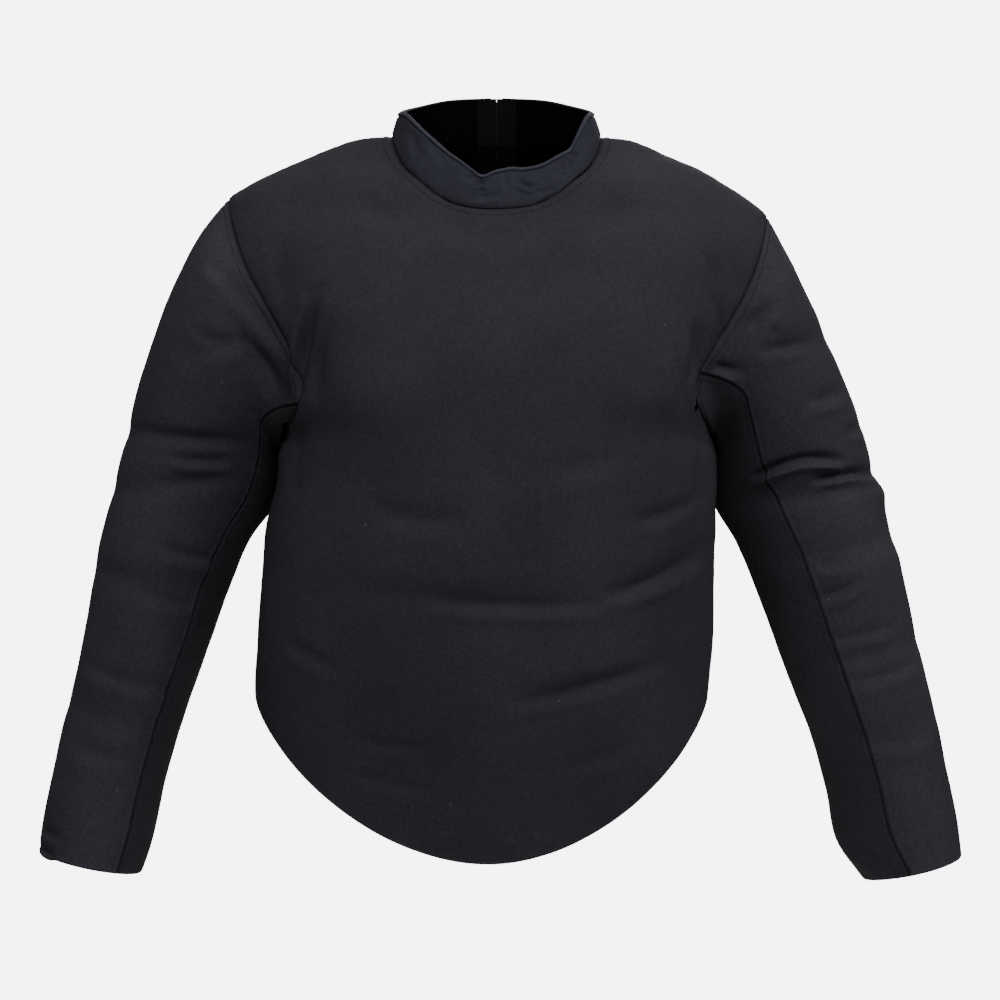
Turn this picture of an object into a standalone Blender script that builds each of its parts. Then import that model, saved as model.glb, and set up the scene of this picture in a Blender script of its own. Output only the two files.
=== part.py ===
# Fencing coaching jacket: a padded jacket with an unbroken front, in the shape that it has when worn
# Metres, +Z up. The wearer faces -Y, so left is +X. The origin is the middle of the neck hole, level
# with the neck ends of the shoulder seams. A drop is a distance below the origin.

import math

import bmesh
import bpy
import numpy as np

# Walls, seams and mesh density
WALL = 0.005
COLLAR_WALL = 0.004
EDGE_WALL = 0.002
SEAM_GAP = 0.0003
MOST_MITRE = 1.6
SHARP_EDGE = 50
ROUNDNESS = 2.2
FITTING_STEPS = 14
LONGEST_STEP = 0.02

SHOULDER_ROWS = 6
ARMHOLE_ROWS = 12
SIDE_ROWS = 12
FRONT_COLUMNS = 30
BACK_COLUMNS = 11
COLLAR_ROWS = 3
ROWS_PER_STATION = 2

# Cut of the body: how far it reaches to each side, to the front and to the back
TORSO_COLUMNS = ("drop", "right", "left", "front", "back")
TORSO_ROWS = (
    (-0.004, 0.050, 0.048, 0.008, 0.048),
    (0.000, 0.092, 0.089, 0.014, 0.060),
    (0.005, 0.134, 0.127, 0.022, 0.064),
    (0.010, 0.150, 0.142, 0.028, 0.069),
    (0.019, 0.171, 0.160, 0.037, 0.076),
    (0.033, 0.204, 0.191, 0.049, 0.085),
    (0.047, 0.232, 0.214, 0.062, 0.093),
    (0.061, 0.254, 0.235, 0.070, 0.100),
    (0.075, 0.263, 0.253, 0.077, 0.106),
    (0.100, 0.268, 0.266, 0.095, 0.116),
    (0.150, 0.264, 0.270, 0.118, 0.128),
    (0.200, 0.245, 0.257, 0.135, 0.134),
    (0.250, 0.225, 0.231, 0.146, 0.135),
    (0.285, 0.199, 0.202, 0.150, 0.134),
    (0.303, 0.2022, 0.2045, 0.151, 0.133),
    (0.320, 0.2045, 0.2055, 0.152, 0.131),
    (0.340, 0.2095, 0.2060, 0.153, 0.129),
    (0.360, 0.215, 0.206, 0.153, 0.127),
    (0.414, 0.220, 0.204, 0.153, 0.123),
    (0.484, 0.224, 0.203, 0.151, 0.125),
    (0.526, 0.226, 0.198, 0.146, 0.129),
    (0.600, 0.224, 0.198, 0.128, 0.131),
    (0.690, 0.221, 0.198, 0.094, 0.131),
)

# Neck hole, seen from above, and the collar that stands on it
NECK_HALF_WIDTH = 0.0993
NECK_FRONT = 0.078
NECK_BACK = 0.062
NECK_FRONT_ROUNDNESS = 2.4
NECK_BACK_ROUNDNESS = 2.0
RIM_SIDE_START = 0.02
RIM_SIDE_EASE = 0.05
RIM_SIDE_TAPER = 0.085
RIM_FRONT_TAPER = 0.10
RIM_BACK_TAPER = 0.03
RIM_COLUMNS = ("angle", "right", "left")
RIM_ROWS = (
    (0, -0.0403, -0.0403),
    (5, -0.0450, -0.0378),
    (10, -0.0385, -0.0382),
    (15, -0.0318, -0.0372),
    (22, -0.0246, -0.0340),
    (30, -0.0164, -0.0284),
    (38, -0.0082, -0.0230),
    (45, -0.0007, -0.0180),
    (51, 0.0049, -0.0070),
    (58, 0.0110, 0.0040),
    (66, 0.0163, 0.0135),
    (75, 0.0190, 0.0185),
    (90, 0.0222, 0.0222),
    (120, 0.0305, 0.0305),
    (150, 0.0400, 0.0400),
    (180, 0.0437, 0.0437),
)

# Hem: level at the sides and the back, a rounded apron in front
SIDE_HEM = 0.526
APRON = 0.1475
APRON_TIP = -0.0075
APRON_ROUNDNESS = (1.9, 0.8)
BACK_HEM_DIP = 0.006

# Armholes
SHOULDER_POINT = {"right": 0.2524, "left": 0.2545}
UNDERARM = 0.285
SHOULDER_ZONE = 0.12
ARMHOLE_BOW = {"right": 0.030, "left": 0.025}
BOW_PEAK = 0.1055

# Sleeves: outer and inner line of each section, how far each is behind y = 0, and its half depth
SLEEVE_COLUMNS = (
    "outer_x", "outer_drop", "outer_back", "inner_x", "inner_drop", "inner_back", "half_depth",
)
SLEEVE_ROWS = {
    "right": (
        (0.282, 0.100, 0.000, 0.2030, 0.293, 0.010, 0.086),
        (0.310, 0.159, 0.003, 0.2042, 0.304, 0.026, 0.085),
        (0.332, 0.220, 0.006, 0.2035, 0.320, 0.040, 0.082),
        (0.350, 0.286, 0.010, 0.2125, 0.350, 0.046, 0.077),
        (0.364, 0.343, 0.014, 0.2330, 0.379, 0.036, 0.071),
        (0.378, 0.400, 0.012, 0.2560, 0.434, 0.024, 0.066),
        (0.386, 0.456, 0.007, 0.2733, 0.486, 0.010, 0.061),
        (0.393, 0.498, 0.000, 0.287, 0.527, 0.000, 0.058),
        (0.402, 0.540, -0.007, 0.299, 0.567, -0.007, 0.055),
        (0.411, 0.581, -0.016, 0.310, 0.608, -0.016, 0.052),
        (0.421, 0.636, -0.029, 0.321, 0.662, -0.029, 0.049),
        (0.424, 0.668, -0.036, 0.330, 0.689, -0.036, 0.046),
    ),
    "left": (
        (0.276, 0.118, 0.000, 0.2054, 0.293, 0.010, 0.086),
        (0.300, 0.167, 0.003, 0.2064, 0.304, 0.026, 0.085),
        (0.327, 0.230, 0.006, 0.2045, 0.320, 0.040, 0.082),
        (0.347, 0.286, 0.010, 0.2085, 0.348, 0.046, 0.077),
        (0.364, 0.343, 0.014, 0.2289, 0.383, 0.036, 0.071),
        (0.381, 0.400, 0.012, 0.2500, 0.438, 0.024, 0.066),
        (0.392, 0.456, 0.007, 0.2683, 0.491, 0.010, 0.061),
        (0.401, 0.498, 0.000, 0.283, 0.532, 0.000, 0.058),
        (0.410, 0.540, -0.007, 0.297, 0.573, -0.007, 0.055),
        (0.418, 0.581, -0.016, 0.308, 0.614, -0.016, 0.052),
        (0.427, 0.636, -0.029, 0.318, 0.662, -0.029, 0.049),
        (0.431, 0.673, -0.036, 0.341, 0.695, -0.036, 0.046),
    ),
}
# Angle of each sleeve seam round the sleeve, from its outer line: at the armhole and at the cuff
FRONT_SEAM = {"right": (138, 130), "left": (118, 101)}
BACK_SEAM = {"right": (110, 110), "left": (110, 110)}

# Largest folds, as troughs seen from the front (x, drop), each with the face that it lies on.
# A depth below zero is a ridge.
FOLD_FACING = 2.0
FOLD_END_POWER = 0.7
FOLD_START = 0.03
FOLD_COLUMNS = ("x0", "drop0", "x1", "drop1", "bend", "width", "depth")
FOLDS = {
    "front": (
        (-0.135, 0.425, 0.105, 0.425, 0.006, 0.012, 0.0030),
        (0.095, 0.428, 0.204, 0.378, 0.004, 0.013, 0.0045),
        (0.005, 0.528, 0.165, 0.489, 0.004, 0.014, 0.0030),
        (-0.150, 0.563, -0.050, 0.580, 0.003, 0.014, 0.0022),
        (-0.172, 0.160, -0.158, 0.262, 0.004, 0.012, 0.0040),
        (0.176, 0.180, 0.188, 0.258, -0.004, 0.012, 0.0035),
    ),
    "back": (
        (-0.170, 0.360, -0.030, 0.392, 0.006, 0.014, 0.0035),
        (0.030, 0.398, 0.170, 0.372, 0.006, 0.014, 0.0035),
        (-0.150, 0.452, -0.040, 0.440, 0.004, 0.014, 0.0030),
        (0.050, 0.462, 0.160, 0.446, 0.004, 0.014, 0.0026),
        (-0.176, 0.150, -0.150, 0.262, 0.004, 0.013, 0.0040),
        (0.176, 0.160, 0.154, 0.258, -0.004, 0.013, 0.0040),
    ),
    "both": (
        (0.215, 0.345, 0.372, 0.312, 0.008, 0.013, 0.0060),
        (0.345, 0.338, 0.395, 0.332, 0.000, 0.012, -0.0045),
        (0.235, 0.400, 0.395, 0.372, 0.004, 0.013, 0.0035),
        (0.240, 0.205, 0.318, 0.190, 0.004, 0.013, 0.0035),
        (0.285, 0.492, 0.405, 0.470, 0.004, 0.012, 0.0030),
        (0.300, 0.565, 0.415, 0.540, 0.003, 0.011, 0.0022),
        (-0.365, 0.276, -0.222, 0.300, 0.004, 0.012, 0.0045),
        (-0.375, 0.335, -0.225, 0.322, 0.003, 0.012, 0.0035),
        (-0.385, 0.405, -0.262, 0.428, 0.004, 0.013, 0.0040),
        (-0.300, 0.210, -0.228, 0.198, 0.003, 0.013, 0.0030),
        (-0.410, 0.530, -0.295, 0.552, 0.003, 0.012, 0.0025),
    ),
}

# Zip down the middle of the back, closed, with its slider at the top
ZIP_SLOT = 0.0055
TAPE_WIDTH = 0.0185
TAPE = 0.0008
TAPE_FLAT = 0.0135
TAPE_RAMP = 0.0065
CHAIN_HALF_WIDTH = 0.0029
CHAIN_PROUD = 0.0004
SLIDER_LENGTH = 0.010
SLIDER_TOP_WIDTH = 0.0088
SLIDER_FOOT_WIDTH = 0.0066
SLIDER_PROUD = 0.0026
SLIDER_BELOW_RIM = 0.009
ARCH_WIDTH = 0.0018
ARCH_LENGTH = 0.0052
ARCH_LEG = 0.0013
ARCH_ROOF = 0.0009
ARCH_ROOT = 0.0005
PIVOT_HEIGHT = 0.0015
PIVOT_CLEARANCE = 0.00115
PULL_LENGTH = 0.026
PULL_WIDTH = 0.007
PULL_THICKNESS = 0.0012
PULL_EYE_WIDTH = 0.0034
PULL_EYE_LENGTH = 0.0056
PULL_SLOT_WIDTH = 0.0028
PULL_SLOT_LENGTH = 0.010
BOX_LENGTH = 0.009
BOX_WIDTH = 0.0078
BOX_ABOVE_HEM = 0.003
BOX_PROUD = 0.0012
TAPE_BELOW_RIM = 0.001

SIDES = {"right": -1, "left": 1}

# Colours as linear values, with roughness and metallic value
CLOTH_FINISH = ((0.024, 0.022, 0.028), 0.85, 0.0)
COLLAR_FINISH = ((0.020, 0.021, 0.030), 0.70, 0.0)
TAPE_FINISH = ((0.012, 0.012, 0.014), 0.80, 0.0)
TEETH_FINISH = ((0.015, 0.015, 0.016), 0.35, 0.0)
METAL_FINISH = ((0.035, 0.035, 0.038), 0.35, 0.9)


def table(columns, rows):
    return dict(zip(columns, np.array(rows, float).T))


TORSO = table(TORSO_COLUMNS, TORSO_ROWS)
RIM = table(RIM_COLUMNS, RIM_ROWS)


def through(places, values, at):
    """A smooth curve through the rows of a table, read at each place; values may hold points."""
    slopes = np.gradient(values, places, axis=0)
    at = np.clip(at, places[0], places[-1])
    i = np.clip(np.searchsorted(places, at) - 1, 0, len(places) - 2)
    step = places[i + 1] - places[i]
    t = (at - places[i]) / step
    for _ in range(values.ndim - 1):
        t, step = t[..., None], step[..., None]
    start = (1 + 2 * t) * (1 - t) ** 2
    end = t * t * (3 - 2 * t)
    leave = t * (1 - t) ** 2 * step
    arrive = t * t * (t - 1) * step
    return start * values[i] + end * values[i + 1] + leave * slopes[i] + arrive * slopes[i + 1]


def torso(column, drop):
    return through(TORSO["drop"], TORSO[column], drop)


def ease(t):
    t = np.clip(t, 0, 1)
    return t * t * (3 - 2 * t)


def unit(vectors):
    return vectors / np.maximum(np.linalg.norm(vectors, axis=-1, keepdims=True), 1e-12)


def points(x, y, z):
    return np.stack(np.broadcast_arrays(x, y, z), axis=-1).astype(float)


# The body's surface: a rounded ring at each drop

def torso_level(p):
    """0 on the surface, less inside it, more outside it."""
    drop = -p[..., 2]
    reach = np.where(p[..., 0] < 0, torso("right", drop), torso("left", drop))
    depth = np.where(p[..., 1] < 0, torso("front", drop), torso("back", drop))
    across = np.abs(p[..., 0]) / reach
    along = np.abs(p[..., 1]) / depth
    return (across**ROUNDNESS + along**ROUNDNESS) ** (1 / ROUNDNESS) - 1


def onto_torso(p):
    step = 1e-4
    for _ in range(FITTING_STEPS):
        level = torso_level(p)
        slope = np.stack(
            [(torso_level(p + d) - torso_level(p - d)) / (2 * step) for d in np.eye(3) * step],
            axis=-1,
        )
        size = np.maximum((slope**2).sum(axis=-1), 1e-9)
        p = p - np.clip(level / size, -LONGEST_STEP, LONGEST_STEP)[..., None] * slope
    return p


def drop_above(x, y):
    """The drop of the surface over (x, y)."""
    low = np.full(np.shape(x), TORSO["drop"][0])
    high = np.full(np.shape(x), SHOULDER_ZONE)
    for _ in range(40):
        middle = (low + high) / 2
        outside = torso_level(points(x, y, -middle)) > 0
        low = np.where(outside, middle, low)
        high = np.where(outside, high, middle)
    return (low + high) / 2


def on_ring(face, x, drop):
    """The point of the ring at this drop that has this x, on the front or the back."""
    reach = np.where(x < 0, torso("right", drop), torso("left", drop))
    share = np.clip(np.abs(x) / reach, 0, 1)
    y = torso(face, drop) * (1 - share**ROUNDNESS) ** (1 / ROUNDNESS)
    return points(x, -y if face == "front" else y, -drop)


def resample(line, shares):
    """Points at these shares of a line's length."""
    length = np.concatenate([[0], np.cumsum(np.linalg.norm(np.diff(line, axis=0), axis=1))])
    at = np.asarray(shares) * length[-1]
    return np.stack([np.interp(at, length, line[:, k]) for k in range(3)], axis=-1)


def length_of(line):
    return np.linalg.norm(np.diff(line, axis=0), axis=1).sum()


# Seam lines

FINE = 400


def neck_plan(degrees):
    """The neck hole from above. 0 is the middle of the front, 90 the left shoulder."""
    a = np.radians(degrees)
    ahead = np.cos(a) > 0
    power = 2 / np.where(ahead, NECK_FRONT_ROUNDNESS, NECK_BACK_ROUNDNESS)
    x = NECK_HALF_WIDTH * np.sign(np.sin(a)) * np.abs(np.sin(a)) ** power
    y = np.where(ahead, -NECK_FRONT, NECK_BACK) * np.abs(np.cos(a)) ** power
    return x, y


def neck_line(start, end):
    x, y = neck_plan(np.linspace(start, end, FINE))
    return points(x, y, -drop_above(x, y))


def shoulder_line(side):
    x = SIDES[side] * np.linspace(NECK_HALF_WIDTH, SHOULDER_POINT[side], FINE)
    return points(x, 0, -drop_above(x, np.zeros(FINE)))


def armhole(side, face, angles):
    """From the shoulder point, at 0 degrees, to the underarm, at 180."""
    top_x = SHOULDER_POINT[side]
    top = drop_above(np.array([SIDES[side] * top_x]), np.zeros(1))[0]
    low_x = torso(side, np.array([UNDERARM]))[0]
    share = (1 - np.cos(np.radians(angles))) / 2
    bow = ARMHOLE_BOW[side] * share**3 * (1 - share) / BOW_PEAK
    x = top_x + (low_x - top_x) * share - bow
    return on_ring(face, SIDES[side] * x, top + (UNDERARM - top) * share)


def side_line(side):
    drop = np.linspace(UNDERARM, SIDE_HEM, FINE)
    return points(SIDES[side] * torso(side, drop), 0, -drop)


def apron_line():
    ends = [SIDES[side] * torso(side, np.array([SIDE_HEM]))[0] for side in SIDES]
    swing = np.sin(np.radians(np.linspace(-90, 90, FINE)))
    x = APRON_TIP + np.where(swing < 0, APRON_TIP - ends[0], ends[1] - APRON_TIP) * swing
    inner, outer = APRON_ROUNDNESS
    drop = SIDE_HEM + APRON * (1 - np.abs(swing) ** inner) ** outer
    return on_ring("front", x, drop)


def back_hem_line(side):
    """From the zip to the side seam."""
    reach = torso(side, np.array([SIDE_HEM]))[0]
    a = np.linspace(math.asin(ZIP_SLOT / reach), math.pi / 2, FINE)
    x = SIDES[side] * reach * np.sin(a)
    return on_ring("back", x, SIDE_HEM + BACK_HEM_DIP * np.cos(a) ** 2)


def zip_line(side, top, foot):
    drop = np.linspace(-top[2], -foot[2], FINE)
    return on_ring("back", np.full(FINE, SIDES[side] * ZIP_SLOT), drop)


def sleeve_angles(side, face, share):
    """The angles of the sleeve's columns on one face, with one on the seam, at a share of its length."""
    seam = FRONT_SEAM[side] if face == "front" else BACK_SEAM[side]
    columns = round(ARMHOLE_ROWS * seam[0] / 180)
    at = seam[0] + (seam[1] - seam[0]) * share
    upper = np.linspace(0, at, columns + 1)
    under = np.linspace(at, 180, ARMHOLE_ROWS - columns + 1)
    return upper, under


def outer_edge(side, face):
    """Shoulder seam, armhole and side seam in one line, from the neck down."""
    upper, under = sleeve_angles(side, face, 0)
    hole = armhole(side, face, np.concatenate([upper, under[1:]]))
    shoulder = resample(shoulder_line(side), np.linspace(0, 1, SHOULDER_ROWS + 1))
    flank = resample(side_line(side), np.linspace(0, 1, SIDE_ROWS + 1))
    return np.concatenate([shoulder, hole[1:], flank[1:]])


# Panels, each a grid of points [row, column], rows from the top down

def patch(top, foot, first, last, along, across):
    """A grid between four borders that meet at their ends. along and across are its shares."""
    v, u = along[:, None, None], across[None, :, None]
    between_ends = (1 - v) * top + v * foot
    between_sides = (1 - u) * first[:, None] + u * last[:, None]
    corners = (1 - v) * ((1 - u) * top[0] + u * top[-1]) + v * ((1 - u) * foot[0] + u * foot[-1])
    grid = between_ends + between_sides - corners
    grid[1:-1, 1:-1] = onto_torso(grid[1:-1, 1:-1])
    return grid


def shares_of(line):
    lengths = np.linalg.norm(np.diff(line, axis=0), axis=1)
    return np.concatenate([[0], np.cumsum(lengths)]) / lengths.sum()


def front_panel():
    across = np.linspace(0, 1, FRONT_COLUMNS + 1)
    right = outer_edge("right", "front")
    left = outer_edge("left", "front")
    top = resample(neck_line(-90, 90), across)
    foot = resample(apron_line(), across)
    return patch(top, foot, right, left, (shares_of(right) + shares_of(left)) / 2, across)


def back_shares(line):
    """Columns from the zip outwards: the flat over the tape, the ramp beside it, then even ones."""
    length = length_of(line)
    start = (TAPE_FLAT + TAPE_RAMP) / length
    even = np.linspace(start, 1, BACK_COLUMNS - 1)
    return np.concatenate([[0, TAPE_FLAT / length], even])


def back_neck_line(side):
    slot = 180 - math.degrees(math.asin(ZIP_SLOT / NECK_HALF_WIDTH))
    return neck_line(SIDES[side] * slot, SIDES[side] * 90)


def back_panel(side):
    neck, hem = back_neck_line(side), back_hem_line(side)
    outer = outer_edge(side, "back")
    along = shares_of(outer)
    middle = resample(zip_line(side, neck[0], hem[0]), along)
    across = back_shares(hem)
    across = np.clip((across - across[2]) / (1 - across[2]), 0, 1)
    top = resample(neck, back_shares(neck))
    foot = resample(hem, back_shares(hem))
    top[0], foot[0] = middle[0], middle[-1]
    return patch(top, foot, middle, outer, along, across)


def sleeve_rings(side, angles, face):
    """Each section of a sleeve at these angles, the armhole first."""
    rows = table(SLEEVE_COLUMNS, SLEEVE_ROWS[side])
    outer = points(SIDES[side] * rows["outer_x"], rows["outer_back"], -rows["outer_drop"])
    inner = points(SIDES[side] * rows["inner_x"], rows["inner_back"], -rows["inner_drop"])
    a = np.radians(angles)[None, :, None]
    turn = -1 if face == "front" else 1
    depth = turn * points(0, rows["half_depth"], 0)[:, None]
    middle, half = (outer + inner)[:, None] / 2, (outer - inner)[:, None] / 2
    rings = middle + half * np.cos(a) + depth * np.sin(a)
    return np.concatenate([armhole(side, face, angles)[None], rings])


def station_places(side):
    """Where the sections stand along the sleeve."""
    rings = sleeve_rings(side, np.linspace(0, 180, 7), "front")
    steps = np.linalg.norm(np.diff(rings, axis=0), axis=2).mean(axis=1)
    return np.concatenate([[0], np.cumsum(steps)])


def sleeve_face(side, face, part):
    """Half of an upper or an under sleeve, from the outer line or the seam inwards."""
    places = station_places(side)
    stations = len(places) - 1
    rows = np.interp(
        np.arange(stations * ROWS_PER_STATION + 1) / ROWS_PER_STATION, np.arange(stations + 1), places
    )
    grid = []
    for place in rows:
        angles = sleeve_angles(side, face, place / places[-1])[part]
        grid.append(through(places, sleeve_rings(side, angles, face), np.array([place]))[0])
    return np.array(grid)


def sleeve_panel(side, part):
    """Part 0 is the upper sleeve, from its back seam over the outer line; part 1 is the under sleeve."""
    ahead, behind = sleeve_face(side, "front", part), sleeve_face(side, "back", part)
    if part == 0:
        return np.concatenate([behind[:, ::-1], ahead[:, 1:]], axis=1)
    return np.concatenate([ahead, behind[:, -2::-1]], axis=1)


def rim_point(base):
    """The collar's top edge over a point of its seam."""
    x, y = base[..., 0], base[..., 1]
    depth = np.where(y < 0, NECK_FRONT, NECK_BACK)
    power = np.where(y < 0, NECK_FRONT_ROUNDNESS, NECK_BACK_ROUNDNESS) / 2
    sine = (np.abs(x) / NECK_HALF_WIDTH) ** power
    cosine = -np.sign(y) * (np.abs(y) / depth) ** power
    angle = np.degrees(np.arctan2(sine, cosine))
    left, right = (through(RIM["angle"], RIM[side], angle) for side in ("left", "right"))
    narrow = RIM_SIDE_TAPER * ease((np.abs(x) - RIM_SIDE_START) / RIM_SIDE_EASE)
    shallow = np.where(y < 0, RIM_FRONT_TAPER, RIM_BACK_TAPER)
    return points(x * (1 - narrow), y * (1 - shallow), np.where(x < 0, right, left))


def collar_panel(front, back_right, back_left):
    """From the zip on the right round the front to the zip on the left, base row first."""
    base = np.concatenate([back_right[0], front[0, 1:], back_left[0, -2::-1]])
    up = np.linspace(0, 1, COLLAR_ROWS + 1)[:, None, None]
    return (1 - up) * base + up * rim_point(base)


# Folds and normals

def fold_depth(p, normals):
    """How far the folds push each point in."""
    facing = normals[..., 1]
    weights = {"front": ease(0.5 - FOLD_FACING * facing), "back": ease(0.5 + FOLD_FACING * facing), "both": 1}
    depth = np.zeros(p.shape[:-1])
    for face, rows in FOLDS.items():
        for row in rows:
            fold = dict(zip(FOLD_COLUMNS, row))
            run = np.array([fold["x1"] - fold["x0"], fold["drop1"] - fold["drop0"]])
            length = np.linalg.norm(run)
            run /= length
            x, drop = p[..., 0] - fold["x0"], -p[..., 2] - fold["drop0"]
            along = (x * run[0] + drop * run[1]) / length
            beside = drop * run[0] - x * run[1] - fold["bend"] * 4 * along * (1 - along)
            fade = np.sin(np.pi * np.clip(along, 0, 1)) ** FOLD_END_POWER
            depth += fold["depth"] * weights[face] * fade * np.exp(-((beside / fold["width"]) ** 2))
    return depth


def grid_normals(grid, outward):
    """Normals of a grid, turned so that they point out; outward is 1 or -1."""
    return unit(np.cross(np.gradient(grid, axis=1), np.gradient(grid, axis=0))) * outward


def border_indices(grid):
    rows, columns = grid.shape[:2]
    return {
        "top": [(0, c) for c in range(columns)],
        "foot": [(rows - 1, c) for c in range(columns)],
        "first": [(r, 0) for r in range(rows)],
        "last": [(r, columns - 1) for r in range(rows)],
    }


def place_key(p):
    return tuple(np.round(p * 1e6).astype(int))


def all_normals(panels):
    """Each panel's normals. Points shared along a seam get the one halfway between its two sides."""
    own = {name: grid_normals(panel["grid"], panel["outward"]) for name, panel in panels.items()}
    sums = {}
    for name, panel in panels.items():
        grid = panel["grid"]
        for at in set(sum(border_indices(grid).values(), [])):
            sides = sums.setdefault(place_key(grid[at]), {})
            sides[panel["tube"]] = sides.get(panel["tube"], 0) + own[name][at]
    shared = {}
    for name, panel in panels.items():
        shared[name] = own[name].copy()
        for at in set(sum(border_indices(panel["grid"]).values(), [])):
            sides = sums[place_key(panel["grid"][at])]
            shared[name][at] = unit(sum(unit(normal) for normal in sides.values()))
    return own, shared


# Walls

def seam_retreat(panel, normals):
    """Moves that pull each sewn border back by half of the seam's gap."""
    grid = panel["grid"]
    moves = {}
    for border, indices in border_indices(grid).items():
        if border not in panel["sewn"]:
            continue
        line = grid[tuple(np.array(indices).T)]
        along = unit(np.gradient(line, axis=0))
        for k, at in enumerate(indices):
            inward = unit(np.cross(along[k], normals[at]))
            rows, columns = grid.shape[:2]
            r, c = at
            inside = {
                "top": (1, c), "foot": (rows - 2, c), "first": (r, 1), "last": (r, columns - 2),
            }[border]
            if np.dot(inward, grid[inside] - grid[at]) < 0:
                inward = -inward
            moves.setdefault(at, []).append(inward)
    retreat = np.zeros_like(grid)
    for at, directions in moves.items():
        shared = np.dot(directions[0], directions[-1]) if len(directions) > 1 else 0
        retreat[at] = sum(directions) / max(1 + shared, 0.5) * SEAM_GAP / 2
    return retreat


def wall(panel, own, normals):
    """Outer and inner points of a panel's wall."""
    mitre = 1 / np.maximum((own * normals).sum(axis=-1), 1 / MOST_MITRE)
    retreat = seam_retreat(panel, normals)
    inward = normals * (mitre * panel["thickness"])[..., None]
    return panel["grid"] + retreat, panel["grid"] + retreat - inward


def wall_faces(grid, outward):
    """Faces of a closed wall: the outer grid, the inner grid after it, and the rim between them."""
    rows, columns = grid.shape[:2]
    count = rows * columns
    number = np.arange(count).reshape(rows, columns)
    faces = []
    for r in range(rows - 1):
        for c in range(columns - 1):
            quad = [number[r, c], number[r, c + 1], number[r + 1, c + 1], number[r + 1, c]]
            faces.append(quad[:: outward])
            faces.append([count + k for k in quad[:: -outward]])
    borders = border_indices(grid)
    loop = borders["top"] + borders["last"][1:] + borders["foot"][-2::-1] + borders["first"][-2:0:-1]
    for here, there in zip(loop, loop[1:] + loop[:1]):
        a, b = number[here], number[there]
        if place_key(grid[here]) < place_key(grid[there]):
            halves = [[a, count + b, b], [a, count + a, count + b]]
        else:
            halves = [[a, count + a, b], [b, count + a, count + b]]
        faces += [half[:: outward] for half in halves]
    return faces


def make_object(name, verts, faces, finish):
    mesh = bpy.data.meshes.new(name)
    mesh.from_pydata([tuple(map(float, p)) for p in verts], [], [list(map(int, f)) for f in faces])
    mesh.shade_smooth()
    mesh.set_sharp_from_angle(angle=math.radians(SHARP_EDGE))
    obj = bpy.data.objects.new(name, mesh)
    bpy.context.collection.objects.link(obj)
    give_finish(obj, finish)
    return obj


def give_finish(obj, finish):
    colour, roughness, metallic = finish
    material = bpy.data.materials.new(obj.name)
    material.use_nodes = True
    shader = material.node_tree.nodes["Principled BSDF"]
    shader.inputs["Base Color"].default_value = (*colour, 1)
    shader.inputs["Roughness"].default_value = roughness
    shader.inputs["Metallic"].default_value = metallic
    obj.data.materials.append(material)


def panel_thickness(grid, full):
    """A wall's thickness, less beside the zip, where the padding stops."""
    beyond = np.abs(grid[..., 0]) - ZIP_SLOT - TAPE_FLAT
    behind = grid[..., 1] > 0
    return np.where(behind, EDGE_WALL + (full - EDGE_WALL) * ease(beyond / TAPE_RAMP), full)


def cloth_panels():
    front = front_panel()
    back_right, back_left = back_panel("right"), back_panel("left")
    panels = {
        "front": {"grid": front, "outward": -1, "sewn": ("top", "first", "last")},
        "back_right": {"grid": back_right, "outward": -1, "sewn": ("top", "last")},
        "back_left": {"grid": back_left, "outward": 1, "sewn": ("top", "last")},
        "collar": {
            "grid": collar_panel(front, back_right, back_left), "outward": 1, "sewn": ("top",),
        },
    }
    for side, turn in SIDES.items():
        for part, word in enumerate(("upper", "under")):
            panels[f"sleeve_{side}_{word}"] = {
                "grid": sleeve_panel(side, part), "outward": turn, "sewn": ("top", "first", "last"),
            }
    for name, panel in panels.items():
        panel["tube"] = {"front": "body", "back": "body", "collar": "collar"}.get(
            name.split("_")[0], name.rpartition("_")[0]
        )
        full = COLLAR_WALL if name == "collar" else WALL
        panel["thickness"] = panel_thickness(panel["grid"], full)
    return panels


def fold_panels(panels):
    normals = all_normals(panels)[1]
    for name, panel in panels.items():
        if name != "collar":
            inward = fold_depth(panel["grid"], normals[name])
            if name.startswith("back"):
                beyond = np.abs(panel["grid"][..., 0]) - ZIP_SLOT - TAPE_WIDTH
                inward = inward * ease(beyond / FOLD_START)
            panel["grid"] = panel["grid"] - normals[name] * inward[..., None]


def make_cloth(panels):
    own, normals = all_normals(panels)
    for name, panel in panels.items():
        outer, inner = wall(panel, own[name], normals[name])
        verts = np.concatenate([outer.reshape(-1, 3), inner.reshape(-1, 3)])
        finish = COLLAR_FINISH if name == "collar" else CLOTH_FINISH
        make_object(name, verts, wall_faces(panel["grid"], panel["outward"]), finish)
    return own, normals


# Zip

def beside_zip(panels, own, normals, side):
    """Points and inward steps of the two columns beside the zip, from the collar's rim to the hem."""
    back, collar = panels[f"back_{side}"]["grid"], panels["collar"]["grid"]
    tracks = []
    for column in (0, 1):
        end = column if side == "right" else -1 - column
        line = np.concatenate([collar[::-1, end], back[1:, column]])
        steps = []
        for name, at in (("collar", np.s_[::-1, end]), (f"back_{side}", np.s_[1:, column])):
            mitre = 1 / np.maximum((own[name] * normals[name])[at].sum(axis=-1), 1 / MOST_MITRE)
            steps.append(-normals[name][at] * mitre[:, None])
        tracks += [line, np.concatenate(steps)]
    return np.stack(tracks, axis=1)


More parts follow.
